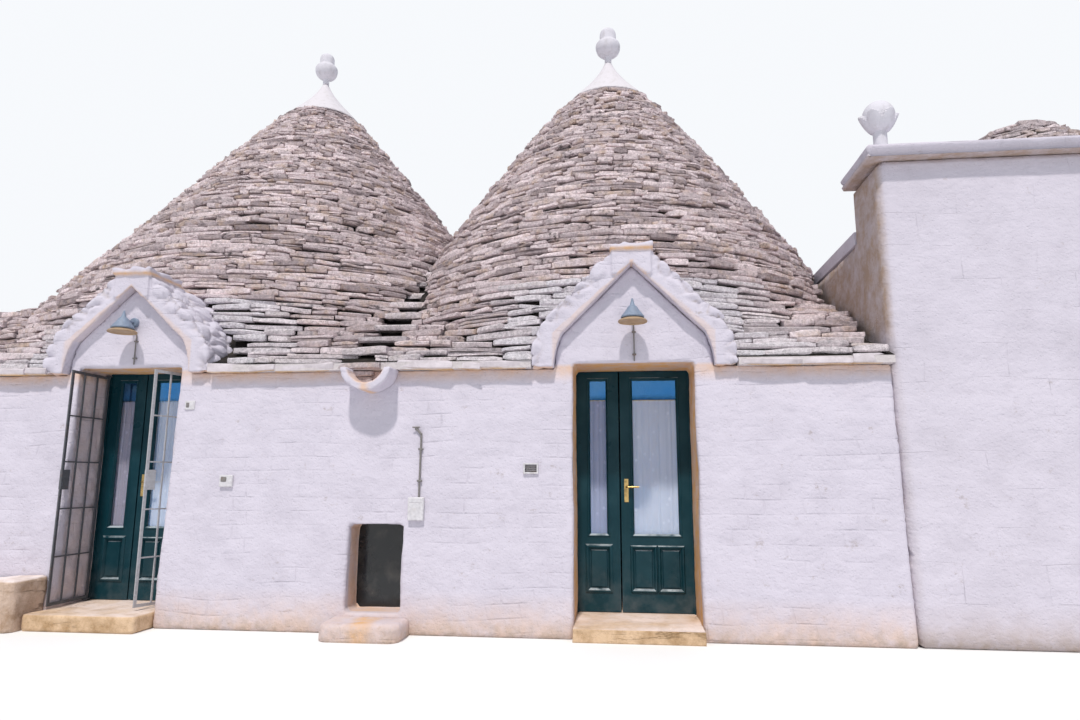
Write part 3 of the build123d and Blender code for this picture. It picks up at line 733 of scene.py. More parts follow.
def fractal_noise(points: np.ndarray, size: float, octaves: int, seed: int) -> np.ndarray:
    """Sum of finer and weaker noises.

    Args:
        points: N rows of three coordinates in metres.
        size: metres between the largest features.
        octaves: number of layers.
        seed: picks the pattern.

    Returns:
        N values, about -1 to 1.
    """
    total = np.zeros(len(points))
    share = 1.0
    reach = 0.0
    for layer in range(octaves):
        total += share * value_noise(points * (2.0 ** layer / size), seed + layer)
        reach += share
        share *= 0.5
    return total / reach


def put(name: str, data: bpy.types.ID) -> bpy.types.Object:
    """Put a mesh, a lamp or a camera into the scene.

    Args:
        name: the object's name.
        data: what it holds.

    Returns:
        The new object.
    """
    made = bpy.data.objects.new(name, data)
    bpy.context.scene.collection.objects.link(made)
    return made


def settle(made: bpy.types.Object) -> None:
    """Turn what an object's modifiers show into its mesh.

    Args:
        made: the object.
    """
    graph = bpy.context.evaluated_depsgraph_get()
    made.data = bpy.data.meshes.new_from_object(made.evaluated_get(graph))
    made.modifiers.clear()


def corners(mesh: bpy.types.Mesh) -> np.ndarray:
    """Read a mesh's vertices.

    Args:
        mesh: the mesh.

    Returns:
        N rows of three coordinates.
    """
    points = np.empty(len(mesh.vertices) * 3)
    mesh.vertices.foreach_get("co", points)
    return points.reshape(-1, 3)


def coat(mesh: bpy.types.Mesh, *materials: bpy.types.Material) -> None:
    """Give a mesh its finishes.

    Args:
        mesh: the mesh.
        *materials: the finishes, by the number that its faces hold.
    """
    mesh.materials.clear()
    for material in materials:
        mesh.materials.append(material)


@dataclass
class MeshDraft:
    """Vertices, faces and one tone a vertex, gathered before a mesh is made."""

    vertices: list[Point] = field(default_factory=list)
    faces: list[tuple[int, ...]] = field(default_factory=list)
    tones: list[Tone] = field(default_factory=list)

    def add(self, vertices: Sequence[Point], faces: Iterable[tuple[int, ...]], tones: Sequence[Tone]) -> None:
        """Add one closed shape.

        Args:
            vertices: its corners.
            faces: its faces, by corner.
            tones: the finish's values, one for each corner.
        """
        start = len(self.vertices)
        self.vertices.extend(vertices)
        self.faces.extend(tuple(start + i for i in face) for face in faces)
        self.tones.extend(tones)

    def make(self, name: str, material: bpy.types.Material, body: str = HOUSE,
             crease: float = 32.0) -> bpy.types.Object:
        """Turn the draft into a piece of the house.

        Args:
            name: the piece's name.
            material: its finish.
            body: the body it rides on.
            crease: degrees between two faces from which their edge is sharp.

        Returns:
            The new object.
        """
        mesh = bpy.data.meshes.new(name)
        mesh.from_pydata(self.vertices, [], self.faces)
        mesh.materials.append(material)
        layer = mesh.color_attributes.new("tone", "FLOAT_COLOR", "POINT")
        layer.data.foreach_set("color", np.array(self.tones, dtype=np.float32).ravel())
        mesh.shade_smooth()
        mesh.set_sharp_from_angle(angle=math.radians(crease))
        mesh.update()
        made = put(name, mesh)
        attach(made, body)
        return made


def dress(node: str, material: bpy.types.Material) -> None:
    """Give one node of the frame its finish."""
    coat(FRAME["nodes"][node].data, material)


def quads_to_shape(rings: Sequence[Sequence[Point]]) -> tuple[list[Point], list[tuple[int, ...]]]:
    """Skin equal rings of points into a closed shape.

    Args:
        rings: rings of the same length, first to last.

    Returns:
        Vertices and faces.
    """
    count = len(rings[0])
    vertices = [point for ring in rings for point in ring]
    faces: list[tuple[int, ...]] = [tuple(range(count))[::-1]]
    for level in range(len(rings) - 1):
        low = level * count
        for i in range(count):
            j = (i + 1) % count
            faces.append((low + i, low + j, low + count + j, low + count + i))
    top = (len(rings) - 1) * count
    faces.append(tuple(range(top, top + count)))
    return vertices, faces


# Stone roofs


def on_ring(points: np.ndarray, run: np.ndarray, place: float) -> np.ndarray:
    """The point at a length along a ring.

    Args:
        points: the ring's points.
        run: the running length to each.
        place: the length.

    Returns:
        Its x and y.
    """
    return np.array([np.interp(place, run, points[:, k]) for k in (0, 1)])


@dataclass
class StoneRoof:
    """Courses of rough slabs laid over one cell's roof, from the eave to the plaster tip."""

    side: Side
    palette: Palette
    bulge: float
    valley_x: float
    seed: int
    eave_over: float = 0.08
    eave_z: float = EAVE_TOP
    eave_base: float = EAVE_FOOT
    skirt_slope: float = 0.56
    course: float = 0.065
    slab_length: float = 0.29
    shortest: float = 0.11
    longest: float = 0.66
    slab_depth: float = 0.17
    joint: tuple[float, float] = (0.005, 0.014)
    proud: tuple[float, float] = (-0.006, 0.052)
    drift: float = 0.030
    split_chance: float = 0.18
    eave_stone: tuple[float, float] = (0.22, 0.6)
    drawn_in: float = 0.032
    draw_rise: float = 0.25
    core_depth: float = 0.060
    core_faces: float = 0.22
    lower_share: float = 0.30
    channel: float = 0.10
    channel_top: float = 3.75
    lime_reach: float = 1.05
    samples: int = 720
    rng: np.random.Generator = field(init=False)

    def __post_init__(self) -> None:
        """Read the cone's place and sizes from the frame."""
        self.rng = np.random.default_rng(self.seed)
        low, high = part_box(f"{self.side.value}_tip")
        self.axis = ((low.x + high.x) / 2, (low.y + high.y) / 2)
        self.tip_r = (high.x - low.x) / 2
        self.top_z = low.z
        self.cone_low, self.cone_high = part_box(f"{self.side.value}_cone")
        self.half = (self.cone_high.y - self.cone_low.y) / 2
        self.base_r = self.half - self.eave_over
        self.name = f"{self.side.value}_roof"

    def cone_radius(self, z: float) -> float:
        """Radius of the cone at a height."""
        share = min(max((z - self.eave_z) / (self.top_z - self.eave_z), 0.0), 1.0)
        return self.base_r + (self.tip_r - self.base_r) * share + self.bulge * 4.0 * share * (1.0 - share)

    def square_half(self, z: float) -> float:
        """Half side of the skirt at a height."""
        return max(self.half - max(z - self.eave_z, 0.0) / self.skirt_slope, 0.0)

    def ring(self, z: float) -> tuple[np.ndarray, np.ndarray]:
        """Outline of the roof at a height.

        Args:
            z: the height.

        Returns:
            Points round the roof, and the running length to each.
        """
        angle = np.linspace(0.0, 2.0 * math.pi, self.samples + 1)
        square = self.square_half(z) / np.maximum(np.abs(np.cos(angle)), np.abs(np.sin(angle)))
        reach = np.maximum(square, self.cone_radius(z))
        points = np.stack([self.axis[0] + reach * np.cos(angle), self.axis[1] + reach * np.sin(angle)], axis=1)
        steps = np.linalg.norm(np.diff(points, axis=0), axis=1)
        return points, np.concatenate([[0.0], np.cumsum(steps)])

    def keeps(self, x: float, y: float, z: float) -> bool:
        """Whether a slab at a place lies on this cell's own roof."""
        raise NotImplementedError

    def sunk(self, z: float) -> float:
        """How far the slabs are drawn in at a height, so that their faces keep the cone's outline."""
        return self.drawn_in * min(max((z - self.eave_z) / self.draw_rise, 0.0), 1.0)

    def clipped(self, a: np.ndarray, b: np.ndarray, z: float) -> tuple[np.ndarray, np.ndarray] | None:
        """The part of a slab's front that lies on this roof.

        Args:
            a: its first corner.
            b: its second corner.
            z: its height.

        Returns:
            The corners of what is kept, or none where it is too short.
        """
        shares = [t / 5.0 for t in range(6)]
        kept = [t for t in shares if self.keeps(*(a + (b - a) * t), z)]
        if not kept or kept[-1] - kept[0] < 0.39:
            return None
        return a + (b - a) * kept[0], a + (b - a) * kept[-1]

    def clear_of_valley(self, z: float) -> float:
        """Half width of the open channel in the valley at a height."""
        share = (self.channel_top - z) / (self.channel_top - self.eave_z)
        return self.channel * min(max(share * 2.2, 0.0), 1.0) - 0.02

    def lime(self, x: float, y: float, z: float) -> float:
        """Share of old lime on a slab: near the eave, and on the stones beside the gable.

        Args:
            x: place across the front.
            y: place into the house.
            z: height.

        Returns:
            A share from 0 to 1.
        """
        at_eave = 0.55 * math.exp(-((z - self.eave_z) / 0.16) ** 2)
        gable = GABLES[self.side]
        beside = abs(x - gable.centre) - gable.half
        by_gable = 0.0
        if y < gable.depth + 0.3 and z < gable.apex and beside < self.lime_reach:
            by_gable = min(1.0, max(0.0, 1.7 * (1.0 - beside / self.lime_reach) - 0.6 * (z - self.eave_z)))
        return max(at_eave, by_gable)

    def slab(self, draft: MeshDraft, a: np.ndarray, b: np.ndarray, low: float, high: float, proud: float,
             limed: float, blunt: float = 0.35, stained: float = 0.0) -> None:
        """Add one rough slab between two points of a course, rounded at its ends and edges.

        Args:
            draft: gathers the slabs.
            a: its first front corner.
            b: its second front corner.
            low: height of its bed.
            high: height of its top.
            proud: metres that its face stands out of the roof.
            limed: share of lime left on it.
            blunt: thinnest that its ends may be, as a share of its thickness.
            stained: ochre on its lower edge.
        """
        rng = self.rng
        along = b - a
        length = float(np.linalg.norm(along))
        if length < 0.05:
            return
        along = along / length
        out = np.array([along[1], -along[0]])
        stations = np.array([0.0, rng.uniform(0.06, 0.2), rng.uniform(0.35, 0.65), rng.uniform(0.8, 0.94), 1.0])
        ends = rng.uniform(max(blunt, 0.62), 1.0, 2)
        swell = np.array([ends[0], 0.65 + 0.35 * ends[0], 1.0, 0.65 + 0.35 * ends[1], ends[1]])
        rough = 1.0 - blunt
        swell = swell * (1.0 + rng.uniform(-0.17, 0.12, 5) * rough)
        push = proud + rng.uniform(-0.016, 0.016) * (2.0 * stations - 1.0) + rng.uniform(-0.018, 0.018, 5) * rough
        push[[0, 4]] -= rng.uniform(0.05, 1.0, 2) * 0.030 * rough
        thick = high - low
        middle = (low + high) / 2 + rng.uniform(-0.009, 0.009) * (2.0 * stations - 1.0)
        middle = middle + rng.uniform(-0.006, 0.006, 5) * rough
        levels = (-0.5, rng.uniform(-0.38, -0.20), rng.uniform(0.22, 0.40), 0.5)
        shy = (rng.uniform(0.005, 0.022), rng.uniform(0.0, 0.005), rng.uniform(0.0, 0.005), rng.uniform(0.004, 0.016))
        pale = float(np.clip(rng.normal(0.66, 0.33), 0.0, 1.0))
        tone = (pale, float(rng.uniform(0.0, 0.8)), float(rng.uniform(0.0, 0.95)), limed)
        rings = []
        tones: list[Tone] = []
        for level, back in zip(levels, shy):
            ring: list[Point] = []
            for i, share in enumerate(stations):
                spot = a + along * length * share + out * (push[i] - back + rng.uniform(-0.005, 0.005))
                ring.append((spot[0], spot[1], middle[i] + thick * level * swell[i] + rng.uniform(-0.003, 0.003)))
            for i in (4, 0):
                spot = a + along * length * stations[i] - out * self.slab_depth
                ring.append((spot[0], spot[1], middle[i] + thick * level * 0.9 + 0.012))
            rings.append(ring)
            warm = (stained if level == -0.5 else 0.0) if stained else tone[1]
            tones.extend([(tone[0], warm, tone[2], tone[3])] * len(ring))
        vertices, faces = quads_to_shape(rings)
        draft.add(vertices, faces, tones)

    def lay_course(self, draft: MeshDraft, z: float, height: float, gap: float, proud: tuple[float, float],
                   scale: float) -> None:
        """Lay one course all round the roof.

        Args:
            draft: gathers the slabs.
            z: height of its bed.
            height: thickness of the course.
            gap: width of the joints.
            proud: least and most that the faces stand out.
            scale: factor on the slabs' length.
        """
        rng = self.rng
        points, run = self.ring(z)
        total = run[-1]
        first = float(rng.uniform(0.0, total))
        place = 0.0
        shrink = min(1.0, 0.45 + 0.55 * self.cone_radius(z) / self.base_r)
        while place < total:
            length = rng.lognormal(math.log(self.slab_length * shrink * scale), 0.40)
            end = min(place + float(np.clip(length, self.shortest, self.longest * scale)), total)
            a, b = (on_ring(points, run, (first + at) % total) for at in (place, end - gap))
            kept = self.clipped(a, b, z)
            if kept is not None:
                a, b = kept
                middle = (a + b) / 2
                spot = np.array([[middle[0] / 1.1 + 50.0, middle[1] / 1.1 + 50.0, z / 1.4]])
                drift = self.drift * float(value_noise(spot, self.seed + 7)[0])
                fuller = height * float(rng.uniform(0.70, 1.06))
                low = z + drift + float(rng.uniform(-0.006, 0.006))
                out = float(rng.uniform(*proud)) - self.sunk(z)
                limed = self.lime(middle[0], middle[1], z)
                if rng.random() < self.split_chance and height > 0.055:
                    cut = fuller * float(rng.uniform(0.4, 0.6))
                    self.slab(draft, a, b, low, low + cut - 0.004, out, limed)
                    self.slab(draft, a, b, low + cut, low + fuller - 0.004, out - 0.012, limed)
                else:
                    self.slab(draft, a, b, low, low + fuller - 0.009, out, limed)
            place = end

    def core(self) -> bpy.types.Object:
        """The rubble under the slabs: the frame's cone, drawn in by their thickness above the eave.

        Returns:
            The core, which stands for the cone.
        """
        node = f"{self.side.value}_cone"
        mesh = FRAME["nodes"][node].data.copy()
        points = corners(mesh)
        depth = self.core_depth * np.clip((points[:, 2] - self.eave_z - 0.003) / self.draw_rise, 0.0, 1.0)
        away = points[:, :2] - np.array(self.axis)
        reach = np.maximum(np.linalg.norm(away, axis=1), 0.3)
        cut = np.minimum(np.abs(points[:, 0] - self.valley_x), np.abs(points[:, 0] - self.cone_high.x)) < 0.01
        shift = -away * (depth / reach)[:, None]
        shift[cut, 0] = 0.0
        points[:, :2] += shift
        points[:, 2] -= depth * 0.6
        mesh.vertices.foreach_set("co", points.ravel())
        # the core takes the near-black painted shade of the gaps, and plaster on its cut faces at the back of the
        # valley
        coat(mesh, self.palette.core, self.palette.plaster)
        for face in mesh.polygons:
            spot = face.center
            off = min(abs(spot.x - self.valley_x), abs(spot.x - self.cone_high.x))
            face.material_index = int(off < 0.02 and abs(face.normal.x) > 0.9 and spot.y > self.axis[1])
        made = put(f"{self.name}_core", mesh)
        made.modifiers.new("fewer", "DECIMATE").ratio = self.core_faces
        settle(made)
        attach(made, HOUSE)
        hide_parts(node)
        return made

    def eave(self) -> bpy.types.Object:
        """Lay the long limed stones of the eave.

        Returns:
            The eave stones as one object.
        """
        draft = MeshDraft()
        points, run = self.ring(self.eave_base)
        place = 0.0
        while place < run[-1]:
            end = min(place + float(self.rng.uniform(*self.eave_stone)), run[-1])
            kept = self.clipped(*(on_ring(points, run, at) for at in (place, end)), self.eave_base)
            if kept is not None:
                self.slab(draft, *kept, self.eave_base - 0.008, self.eave_z + float(self.rng.uniform(-0.012, 0.024)),
                          0.010 + float(self.rng.uniform(-0.006, 0.008)), 1.0, 0.74, 1.0)
            place = end
        piece = draft.make(f"{self.name}_eave", self.palette.eave)
        return piece

    def build(self) -> list[bpy.types.Object]:
        """Lay every course and make the pieces.

        Returns:
            The core, the eave stones, the lower slabs and the upper slabs.
        """
        pieces = [self.core(), self.eave()]
        z = self.eave_z + 0.012
        lower_top = self.eave_z + self.lower_share * (self.top_z - self.eave_z)
        for part, stop in (("lower", lower_top), ("upper", self.top_z)):
            draft = MeshDraft()
            while z < stop - 0.02:
                share = (z - self.eave_z) / (self.top_z - self.eave_z)
                height = self.course * float(self.rng.uniform(0.78, 1.20)) * (1.12 - 0.28 * share)
                height = min(height, self.top_z - z + 0.01)
                self.lay_course(draft, z, height, float(self.rng.uniform(*self.joint)), self.proud,
                                1.25 - 0.42 * share)
                z += height
            self.finish(draft, part)
            piece = draft.make(f"{self.name}_{part}_slabs", self.palette.slabs)
            pieces.append(piece)
        return pieces

    def finish(self, draft: MeshDraft, part: str) -> None:
        """Add what only this roof has to a part of its slabs."""


@dataclass
class LeftRoof(StoneRoof):
    """Roof of the left cell, which ends at the valley."""

    bridges: Sequence[float] = (2.29, 2.46, 2.64, 2.83, 3.03, 3.23, 3.43, 3.62)
    foot_stones: Sequence[Point] = ((2.03, 0.07, -0.05), (2.085, 0.11, -0.065), (2.142, 0.19, -0.100))

    def keeps(self, x: float, y: float, z: float) -> bool:
        """Whether a slab at a place lies left of the valley, clear of the gable."""
        return x < self.valley_x - self.clear_of_valley(z) and not GABLES[Side.LEFT].covers(x, y, z)

    def finish(self, draft: MeshDraft, part: str) -> None:
        """Lay the flat slabs that bridge the valley like rungs, in front and behind.

        Args:
            draft: gathers the slabs.
            part: which part of the roof is being laid.
        """
        if part != "lower":
            return
        for z in self.bridges:
            across = self.valley_x - self.axis[0]
            reach = max(self.cone_radius(z), self.square_half(z))
            back = math.sqrt(max(reach * reach - across * across, 0.01))
            if self.square_half(z) > across:
                back = max(back, self.square_half(z))
            for sign in (-1.0, 1.0):
                y = self.axis[1] + sign * (back + 0.05)
                half = float(self.rng.uniform(0.17, 0.23))
                shift = float(self.rng.uniform(-0.04, 0.04))
                ends = np.array([self.valley_x + shift - half, y]), np.array([self.valley_x + shift + half, y])
                a, b = ends if sign < 0.0 else ends[::-1]
                thick = float(self.rng.uniform(0.055, 0.075))
                self.slab(draft, a, b, z, z + thick, 0.02 - self.sunk(z), 0.45, 0.7)
        for z, half, y in self.foot_stones:
            middle = np.array([self.valley_x + float(self.rng.uniform(-0.02, 0.02)), y])
            side = np.array([half, 0.0])
            self.slab(draft, middle - side, middle + side, z, z + 0.055, 0.0, 0.15, 0.5)


class RightRoof(StoneRoof):
    """Roof of the right cell, between the valley and the wing."""

    def keeps(self, x: float, y: float, z: float) -> bool:
        """Whether a slab lies between the valley and the wing, clear of the gable.

        Args:
            x: its place across the front.
            y: its place into the house.
            z: its height.

        Returns:
            Whether it is laid.
        """
        low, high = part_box("wing_left_wall")
        _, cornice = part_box("wing_cornice")
        beyond = x > low.x - 0.02 and y < high.y + 0.02 and z < high.z
        screen = x > low.x - 0.02 and y < cornice.y and z < cornice.z
        over = x > self.cone_high.x + 0.1
        return (x > self.valley_x + self.clear_of_valley(z) and not beyond and not screen and not over
                and not GABLES[Side.RIGHT].covers(x, y, z))


@dataclass
class DomeRoof(StoneRoof):
    """Low round roof of slabs behind the wing's parapet."""

    tip_r: float = 0.30
    foot_rise: float = 0.12
    proud: tuple[float, float] = (0.010, 0.05)
    crown_slabs: int = 9
    crown_r: float = 0.17
    crown_half: float = 0.15

    def __post_init__(self) -> None:
        """Read the dome's place and sizes from the frame."""
        self.rng = np.random.default_rng(self.seed)
        low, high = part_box("wing_dome")
        self.axis = ((low.x + high.x) / 2, (low.y + high.y) / 2)
        self.base_r = (high.x - low.x) / 2
        self.eave_z = low.z + self.foot_rise
        self.top_z = high.z
        self.name = "wing_dome"

    def square_half(self, z: float) -> float:
        """The dome has no square skirt."""
        return 0.0

    def sunk(self, z: float) -> float:
        """The dome's slabs stand on its surface."""
        return 0.0

    def lime(self, x: float, y: float, z: float) -> float:
        """A little lime all over."""
        return 0.15

    def keeps(self, x: float, y: float, z: float) -> bool:
        """Every slab of the dome is kept."""
        return True

    def build(self) -> list[bpy.types.Object]:
        """Lay the dome's courses and its top slabs.

        Returns:
            The slabs as one object in a list.
        """
        draft = MeshDraft()
        z = self.eave_z - 0.10
        while z < self.top_z - 0.03:
            height = self.course * float(self.rng.uniform(0.8, 1.15))
            self.lay_course(draft, z, height, 0.01, self.proud, 1.0)
            z += height
        for turn in range(self.crown_slabs):
            angle = turn * 2.4
            away = self.crown_r * math.sqrt(turn / 4.0)
            middle = np.array(self.axis) + away * np.array([math.cos(angle), math.sin(angle)])
            side = self.crown_half * np.array([-math.sin(angle), math.cos(angle)])
            self.slab(draft, middle - side, middle + side, self.top_z - 0.05, self.top_z - 0.005, 0.04, 0.15, 0.6)
        piece = draft.make("wing_dome_slabs", self.palette.slabs)
        return [piece]


# Gables


@dataclass(frozen=True)
class GableShape:
    """Outline of one gable, as its face and its coping give it."""

    centre: float
    half: float
    apex: float
    eave: float
    coping: float
    depth: float
    foot: float = 0.29  # upright part below the rakes

    @classmethod
    def of(cls, side: Side) -> "GableShape":
        """Read a gable's outline from the frame.

        Args:
            side: which gable.

        Returns:
            Its outline.
        """
        low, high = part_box(f"{side.value}_gable")
        outer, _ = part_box(f"{side.value}_coping")
        return cls((low.x + high.x) / 2, (high.x - low.x) / 2, high.z, low.z, low.x - outer.x, high.y)

    def covers(self, x: float, y: float, z: float) -> bool:
        """Whether a place lies inside the gable and its coping.

        Args:
            x: its place across the front.
            y: its place into the house.
            z: its height.

        Returns:
            Whether the gable takes it up.
        """
        if y > self.depth:
            return False
        top = self.apex + self.coping
        across = abs(x - self.centre)
        reach = (self.half + self.coping * 0.7) * min(1.0, max(0.0, (top - z) / (top - self.eave - self.foot)))
        return across < reach and z < top


# Walls


@dataclass
class RoughMasonry:
    """Hand-built walls: the frame's nodes joined, rounded at their edges and made uneven."""

    name: str
    nodes: Sequence[str]
    material: bpy.types.Material
    voxel: float
    relief: float
    slot: str
    seed: int
    block: float = 0.26
    course: float = 0.115
    groove: float = 0.003
    joint_w: float = 0.022
    lump: float = 0.42
    foot_rise: float = 0.12
    calm_y: float = 1000.0
    rough_reveal: float | None = None  # x of a doorway's side that is bare rubble
    rubble: float = 0.10
    rubble_depth: float = 0.022
    stain: Callable[[np.ndarray, np.ndarray], np.ndarray] | None = None

    def joined(self) -> bpy.types.Object:
        """One closed skin round all the nodes, drawn back onto their faces.

        Returns:
            The remeshed object.
        """
        gathered = bmesh.new()
        for node in self.nodes:
            gathered.from_mesh(FRAME["nodes"][node].data)
        faces = BVHTree.FromBMesh(gathered)
        mesh = bpy.data.meshes.new(self.name)
        gathered.to_mesh(mesh)
        gathered.free()
        made = put(self.name, mesh)
        remesh = made.modifiers.new("skin", "REMESH")
        remesh.mode = "VOXEL"
        remesh.voxel_size = self.voxel
        settle(made)
        for vertex in made.data.vertices:
            nearest = faces.find_nearest(vertex.co)[0]
            if nearest is not None:
                vertex.co = nearest
        return made

    def warped(self, points: np.ndarray) -> np.ndarray:
        """Position along the courses, bent so that no course is straight.

        Args:
            points: N places.

        Returns:
            N pairs of values in metres.
        """
        u = points[:, 0] + points[:, 1] + 0.09 * fractal_noise(points, 0.9, 2, self.seed + 40)
        v = points[:, 2] + 0.035 * fractal_noise(points, 0.7, 2, self.seed + 60)
        return np.stack([u + 40.0, v + 40.0], axis=1)

    def grooves(self, uv: np.ndarray) -> np.ndarray:
        """Depth of the joints between blocks, 1 in the middle of a joint.

        Args:
            uv: N pairs along the courses.

        Returns:
            N values from 0 to 1.
        """
        row = np.floor(uv[:, 1] / self.course)
        shift = np.where(row % 2 == 0, 0.5 * self.block, 0.0)
        across = np.mod(uv[:, 0] + shift, self.block)
        up = np.mod(uv[:, 1], self.course)
        near = np.minimum(np.minimum(across, self.block - across), np.minimum(up, self.course - up))
        return np.exp(-(near / self.joint_w) ** 2)

    def push(self, points: np.ndarray, normals: np.ndarray, uv: np.ndarray) -> np.ndarray:
        """How far the skin is moved out at each place.

        Args:
            points: N places.
            normals: which way they face.
            uv: their places along the courses.

        Returns:
            N distances in metres.
        """
        worn = np.clip(0.5 + 0.9 * fractal_noise(points, 1.1, 2, self.seed + 5), 0.0, 1.0)
        lumps = self.relief * fractal_noise(points, self.lump, 4, self.seed)
        moved = lumps - self.groove * self.grooves(uv) * worn
        if self.rough_reveal is not None:
            bare = (normals[:, 0] > 0.7) & (np.abs(points[:, 0] - self.rough_reveal) < 0.05)
            bare &= (points[:, 1] > 0.02) & (points[:, 1] < 0.36)
            stones = self.rubble_depth * (stone_cells(points, self.rubble, self.seed + 80) - 1.0)
            moved = np.where(bare, stones, moved)
        return moved

    def dirt(self, points: np.ndarray) -> np.ndarray:
        """Grime that has settled on the skin besides that of its foot.

        Args:
            points: N places.

        Returns:
            N amounts from 0 to 1.
        """
        return np.zeros(len(points))

    def build(self) -> bpy.types.Object:
        """Make the walls uneven and hand them their finish.

        Returns:
            The piece that stands for the nodes.
        """
        made = self.joined()
        mesh = made.data
        points = corners(mesh)
        normals = np.empty(points.size, dtype=np.float32)
        mesh.vertex_normals.foreach_get("vector", normals)
        normals = normals.reshape(-1, 3)
        uv = self.warped(points)
        push = self.push(points, normals, uv)
        foot = np.clip((points[:, 2] - 0.02) / self.foot_rise, 0.0, 1.0)
        calm = np.clip((self.calm_y - points[:, 1]) / 0.1, 0.0, 1.0)
        moved = points + normals * (push * foot * calm)[:, None]
        moved[:, 2] = np.maximum(moved[:, 2], 0.0)
        mesh.vertices.foreach_set("co", moved.ravel())
        mesh.shade_smooth()
        self.paint(mesh, moved, normals, uv)
        coat(mesh, self.material)
        mesh.update()
        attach(made, HOUSE)
        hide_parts(*self.nodes)
        return made

    def paint(self, mesh: bpy.types.Mesh, points: np.ndarray, normals: np.ndarray, uv: np.ndarray) -> None:
        """Write the course map and the stains on the mesh.

        Args:
            mesh: the walls' mesh.
            points: its vertices.
            normals: their normals.
            uv: their places along the courses.
        """
        ends = np.empty(len(mesh.loops), dtype=np.int32)
        mesh.loops.foreach_get("vertex_index", ends)
        layer = mesh.uv_layers.new(name="courses")
        layer.data.foreach_set("uv", uv[ends].astype(np.float32).ravel())
        stains = np.zeros((len(points), 4), dtype=np.float32)
        stains[:, 3] = 1.0
        stains[:, 1] = np.clip((0.16 - points[:, 2]) / 0.16, 0.0, 1.0) * 0.8
        stains[:, 1] = np.maximum(stains[:, 1], self.dirt(points))
        stains[:, 0] = np.clip((0.34 - points[:, 2]) / 0.34, 0.0, 1.0) * 0.5
        if self.stain is not None:
            stains[:, 0] = np.maximum(stains[:, 0], self.stain(points, normals))
        attribute = mesh.color_attributes.new("stains", "FLOAT_COLOR", "POINT")
        attribute.data.foreach_set("color", stains.ravel())


@dataclass
class CorniceSlab(RoughMasonry):
    """The wing's cornice, with its lower part worn back under the top slab."""

    back: float = 0.055
    slab: float = 0.55
    draw: float = 0.2

    def push(self, points: np.ndarray, normals: np.ndarray, uv: np.ndarray) -> np.ndarray:
        """Draw the lower part in.

        Args:
            points: N places.
            normals: which way they face.
            uv: their places along the courses.

        Returns:
            N distances in metres.
        """
        low, high = points[:, 2].min(), points[:, 2].max()
        level = (points[:, 2] - low) / (high - low)
        upright = np.clip(1.0 - 2.0 * np.abs(normals[:, 2]), 0.0, 1.0)
        drawn = self.back * upright * np.clip((self.slab - level) / self.draw, 0.0, 1.0)
        return super().push(points, normals, uv) - drawn


@dataclass
class CopingStones(RoughMasonry):
    """Rough stones along a gable's rakes, drowned in limewash, with a plastered inner edge and a capped top."""

    side: Side = Side.RIGHT
    stone: float = 0.15
    swell: float = 0.044
    cap_half: float = 0.21
    cap_height: float = 0.24
    lip_drop: float = 0.052

    def __post_init__(self) -> None:
        """Stain the coping in its own way."""
        self.stain = self.edges
        self.shape = GABLES[self.side]
        self.cap_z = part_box(f"{self.side.value}_coping")[1].z

    def across(self, points: np.ndarray) -> np.ndarray:
        """Place across the coping: 0 at its inner edge and 1 at its outer one.

        Args:
            points: N places.

        Returns:
            N values.
        """
        shape = self.shape
        inner = shape.half * np.clip((shape.apex - points[:, 2]) / (shape.apex - shape.eave - shape.foot), 0.0, 1.0)
        return (np.abs(points[:, 0] - shape.centre) - inner) / shape.coping

    def push(self, points: np.ndarray, normals: np.ndarray, uv: np.ndarray) -> np.ndarray:
        """Swell the outer part into stones.

        Args:
            points: N places.
            normals: which way they face.
            uv: their places along the courses; not used.

        Returns:
            N distances in metres.
        """
        outer = np.maximum(self.stony(points), np.clip(normals[:, 2] * 1.8, 0.0, 1.0) * (self.stony(points) > 0.0))
        fine = 0.006 * fractal_noise(points, 0.07, 3, self.seed + 9)
        lumps = self.relief * fractal_noise(points, self.lump, 3, self.seed)
        return lumps + (self.swell * (self.stones(points) - 0.62) + fine) * outer

    def stony(self, points: np.ndarray) -> np.ndarray:
        """Share of bare stone shapes: none at the plastered inner edge and little on the cap.

        Args:
            points: N places.

        Returns:
            N shares from 0 to 1.
        """
        cap = np.abs(points[:, 0] - self.shape.centre) < self.cap_half
        cap &= points[:, 2] > self.cap_z - self.cap_height
        return np.where(cap, 0.12, np.clip((self.across(points) - 0.35) / 0.35, 0.0, 1.0))

    def stones(self, points: np.ndarray) -> np.ndarray:
        """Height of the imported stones, 0 in their joints."""
        bent = points + 0.05 * np.stack([fractal_noise(points, 0.2, 2, self.seed + k) for k in range(3)], axis=1)
        return stone_cells(bent * np.array([0.8, 0.7, 1.25]), self.stone, self.seed)

    def dirt(self, points: np.ndarray) -> np.ndarray:
        """Grime in the joints between the stones."""
        return np.clip(0.8 - 1.6 * self.stones(points), 0.0, 0.75) * self.stony(points)

    def edges(self, points: np.ndarray, normals: np.ndarray) -> np.ndarray:
        """Ochre on the inner edge, under the cap's slab and on what faces down.

        Args:
            points: N places.
            normals: which way they face.

        Returns:
            Amount of ochre at each place.
        """
        front = np.clip((points[:, 1].min() + 0.06 - points[:, 1]) / 0.03, 0.0, 1.0)
        inner = np.clip((0.075 - self.across(points)) / 0.045, 0.0, 0.75) * front
        inner *= points[:, 2] < self.shape.apex + 0.02
        cap = np.exp(-((points[:, 2] - self.cap_z + self.lip_drop) / 0.016) ** 2) * 0.9
        cap *= np.abs(points[:, 0] - self.shape.centre) < self.cap_half
        under = np.clip(-normals[:, 2] * 3.0 - 2.0, 0.0, 1.0) * 0.7
        return np.maximum(np.maximum(inner * 0.75, cap), under)


